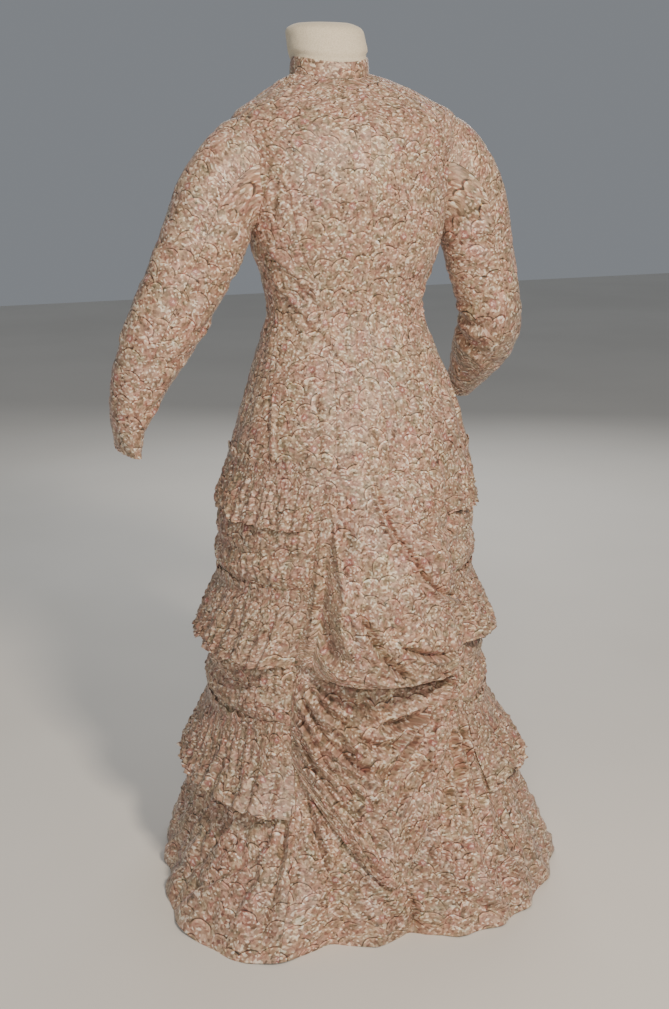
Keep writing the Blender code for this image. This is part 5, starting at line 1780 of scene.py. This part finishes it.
@dataclass
class StitchLine:
    """A row of hand stitches along a line on the cloth, set by Geometry Nodes."""
    finish: bpy.types.Material
    name: str
    line: np.ndarray
    spacing: float = 0.006
    length: float = 0.0032
    thickness: float = 0.00045

    def build(self) -> bpy.types.Object:
        """Make the row as one piece.

        Returns:
            The piece.
        """
        mesh = bpy.data.meshes.new(self.name)
        edges = [(i, i + 1) for i in range(len(self.line) - 1)]
        mesh.from_pydata(self.line.tolist(), edges, [])
        item = bpy.data.objects.new(self.name, mesh)
        bpy.context.scene.collection.objects.link(item)
        tree = bpy.data.node_groups.new("sew_stitches", "GeometryNodeTree")
        tree.interface.new_socket("Geometry", in_out="INPUT", socket_type="NodeSocketGeometry")
        sockets = {label: tree.interface.new_socket(label, in_out="INPUT",
                                                    socket_type="NodeSocketFloat")
                   for label in ("Spacing", "Length", "Thickness")}
        tree.interface.new_socket("Geometry", in_out="OUTPUT", socket_type="NodeSocketGeometry")
        start = add_node(tree, "NodeGroupInput")
        seam = add_node(tree, "GeometryNodeMeshToCurve", {"Mesh": start.outputs["Geometry"]})
        points = add_node(tree, "GeometryNodeCurveToPoints",
                          {"Curve": seam.outputs[0], "Length": start.outputs["Spacing"]},
                          mode="LENGTH")
        strand = add_node(tree, "GeometryNodeMeshCylinder",
                          {"Vertices": 6, "Radius": start.outputs["Thickness"],
                           "Depth": start.outputs["Length"]})
        aim = add_node(tree, "FunctionNodeAlignRotationToVector",
                       {"Vector": points.outputs["Tangent"]}, axis="Z")
        sewn = add_node(tree, "GeometryNodeInstanceOnPoints",
                        {"Points": points.outputs["Points"], "Instance": strand.outputs["Mesh"],
                         "Rotation": aim.outputs[0]})
        real = add_node(tree, "GeometryNodeRealizeInstances", {0: sewn.outputs[0]})
        dressed = add_node(tree, "GeometryNodeSetMaterial",
                           {"Geometry": real.outputs[0], "Material": self.finish})
        add_node(tree, "NodeGroupOutput", {0: dressed.outputs[0]})
        modifier = item.modifiers.new("stitches", "NODES")
        modifier.node_group = tree
        for label, value in (("Spacing", self.spacing), ("Length", self.length),
                             ("Thickness", self.thickness)):
            modifier[sockets[label].identifier] = value
        return wear(applied(item), Slot.PRINT)


@dataclass(frozen=True)
class Lamp:
    """A soft square lamp that looks at the dress: its place, side in metres, watts and colour."""
    name: str
    place: tuple[float, float, float]
    side: float
    watts: float
    colour: str


@dataclass
class Studio:
    """The floor, the lights and the camera, which stands where the photograph's stood."""
    camera_place: tuple[float, float, float] = (0.955, 2.31, 1.36)
    forward: tuple[float, float] = (-0.3746, -0.9272)
    pitch_down: float = 15.7
    focal_pixels: float = 1400.0
    image_height: float = 1009.0
    sensor: float = 36.0
    lamps: tuple[Lamp, ...] = (
        Lamp("key_lamp", (-0.25, 2.40, 2.72), 0.40, 82.0, "FFF0DE"),
        Lamp("camera_lamp", (1.25, 2.65, 1.65), 0.5, 27.0, "FFF8F0"),
        Lamp("front_lamp", (-1.4, -2.6, 2.2), 2.0, 45.0, "FFFFFF"))
    lit_place: tuple[float, float, float] = (0.0, 0.05, 0.75)
    air: str = "D6DCE4"
    air_strength: float = 0.32
    floor_reach: float = 8.0

    def camera(self) -> None:
        """Make the camera."""
        pitch = math.radians(self.pitch_down)
        level = Vector((*self.forward, 0.0)).normalized()
        right = Vector((level.y, -level.x, 0.0))
        ahead = level * math.cos(pitch) - Vector((0, 0, 1)) * math.sin(pitch)
        place = Matrix((right, right.cross(ahead), -ahead)).transposed().to_4x4()
        place.translation = Vector(self.camera_place)
        data = bpy.data.cameras.new("camera")
        data.sensor_fit = "VERTICAL"
        data.sensor_height = self.sensor
        data.lens = self.focal_pixels / self.image_height * self.sensor
        item = bpy.data.objects.new("camera", data)
        item.matrix_world = place
        bpy.context.scene.collection.objects.link(item)
        bpy.context.scene.camera = item

    def light(self, lamp: Lamp) -> None:
        """Set up one lamp.

        Args:
            lamp: The lamp.
        """
        data = bpy.data.lights.new(lamp.name, "AREA")
        data.size, data.energy, data.color = lamp.side, lamp.watts, linear(lamp.colour)[:3]
        item = bpy.data.objects.new(lamp.name, data)
        item.location = lamp.place
        aim = Vector(self.lit_place) - Vector(lamp.place)
        item.rotation_euler = aim.to_track_quat("-Z", "Y").to_euler()
        bpy.context.scene.collection.objects.link(item)

    def floor(self) -> None:
        """Make the floor, a broad pale sheet with nothing on it."""
        mesh = bpy.data.meshes.new("studio_floor")
        half = self.floor_reach
        mesh.from_pydata([(-half, -half, 0), (half, -half, 0), (half, half, 0), (-half, half, 0)],
                         [], [(0, 1, 2, 3)])
        item = bpy.data.objects.new("studio_floor", mesh)
        finish = PlainFinish("studio_paint", "E2DED6", "DCD8D0", 0.9, 0.0, 900.0, 0.0)
        mesh.materials.append(finish.build())
        bpy.context.scene.collection.objects.link(item)

    def build(self) -> None:
        """Make the whole studio."""
        self.camera()
        self.floor()
        for lamp in self.lamps:
            self.light(lamp)
        world = bpy.data.worlds.new("studio")
        world.use_nodes = True
        back = world.node_tree.nodes["Background"]
        back.inputs[0].default_value = linear(self.air)
        back.inputs[1].default_value = self.air_strength
        bpy.context.scene.world = world


# The height of each flounce's line of gathering stitches
GATHER_LINES = (("upper", 0.768), ("middle", 0.548), ("lower", 0.310))


def stitch_lines(thread: bpy.types.Material, inset: float = 3.0, step: float = 0.5,
                 rise: float = 0.0016) -> None:
    """Sew the flounces' gathering lines.

    Args:
        thread: The thread's finish.
        inset: Degrees from the ends of a flounce to its first and last stitch.
        step: Degrees between the points of a line.
        rise: Metres over the flounce's sewn line.
    """
    for name, height in GATHER_LINES:
        level = np.array(height)
        start = float(drape_edge(Side.LEFT, level)) + inset
        end = 360 - float(drape_edge(Side.RIGHT, level)) - inset
        angle = spaced(start, end, step)
        line = SHAPE.lifted(angle, np.full(angle.shape, height),
                            np.full(angle.shape, OVER + rise))
        StitchLine(thread, f"gathering_stitches_{name}", line).build()


def main() -> None:
    """Build the dress, its form and the studio, in order."""
    logging.basicConfig(level=logging.INFO, format="%(name)s: %(message)s")
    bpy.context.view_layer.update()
    Studio().build()
    cotton = PrintedCotton().build()
    shirred = PrintedCotton(name="shirred_cotton_cloth", shade=0.94).build()
    DressForm(JERSEY.build(), ENAMEL.build()).build()
    Bodice(cotton).build()
    Collar(cotton).build()
    Sleeve(cotton, Side.LEFT, LEFT_SLEEVE, LEFT_SLEEVE_CREASES).build()
    Sleeve(cotton, Side.RIGHT, RIGHT_SLEEVE, RIGHT_SLEEVE_CREASES).build()
    Skirt(cotton).build()
    for flounce in (
            Flounce(shirred, "flounce_upper", 0.786, 0.768, 0.676, 0.015, 0.0050, 101),
            Flounce(shirred, "flounce_middle", 0.568, 0.548, 0.436, 0.036, 0.0075, 111),
            Flounce(shirred, "flounce_lower", 0.330, 0.310, 0.186, 0.034, 0.0080, 121)):
        flounce.build()
    Drapery(cotton).build()
    ButtonRow(SHELL_FINISH.build()).build()
    stitch_lines(THREAD.build())
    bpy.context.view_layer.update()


if __name__ == "__main__":
    main()
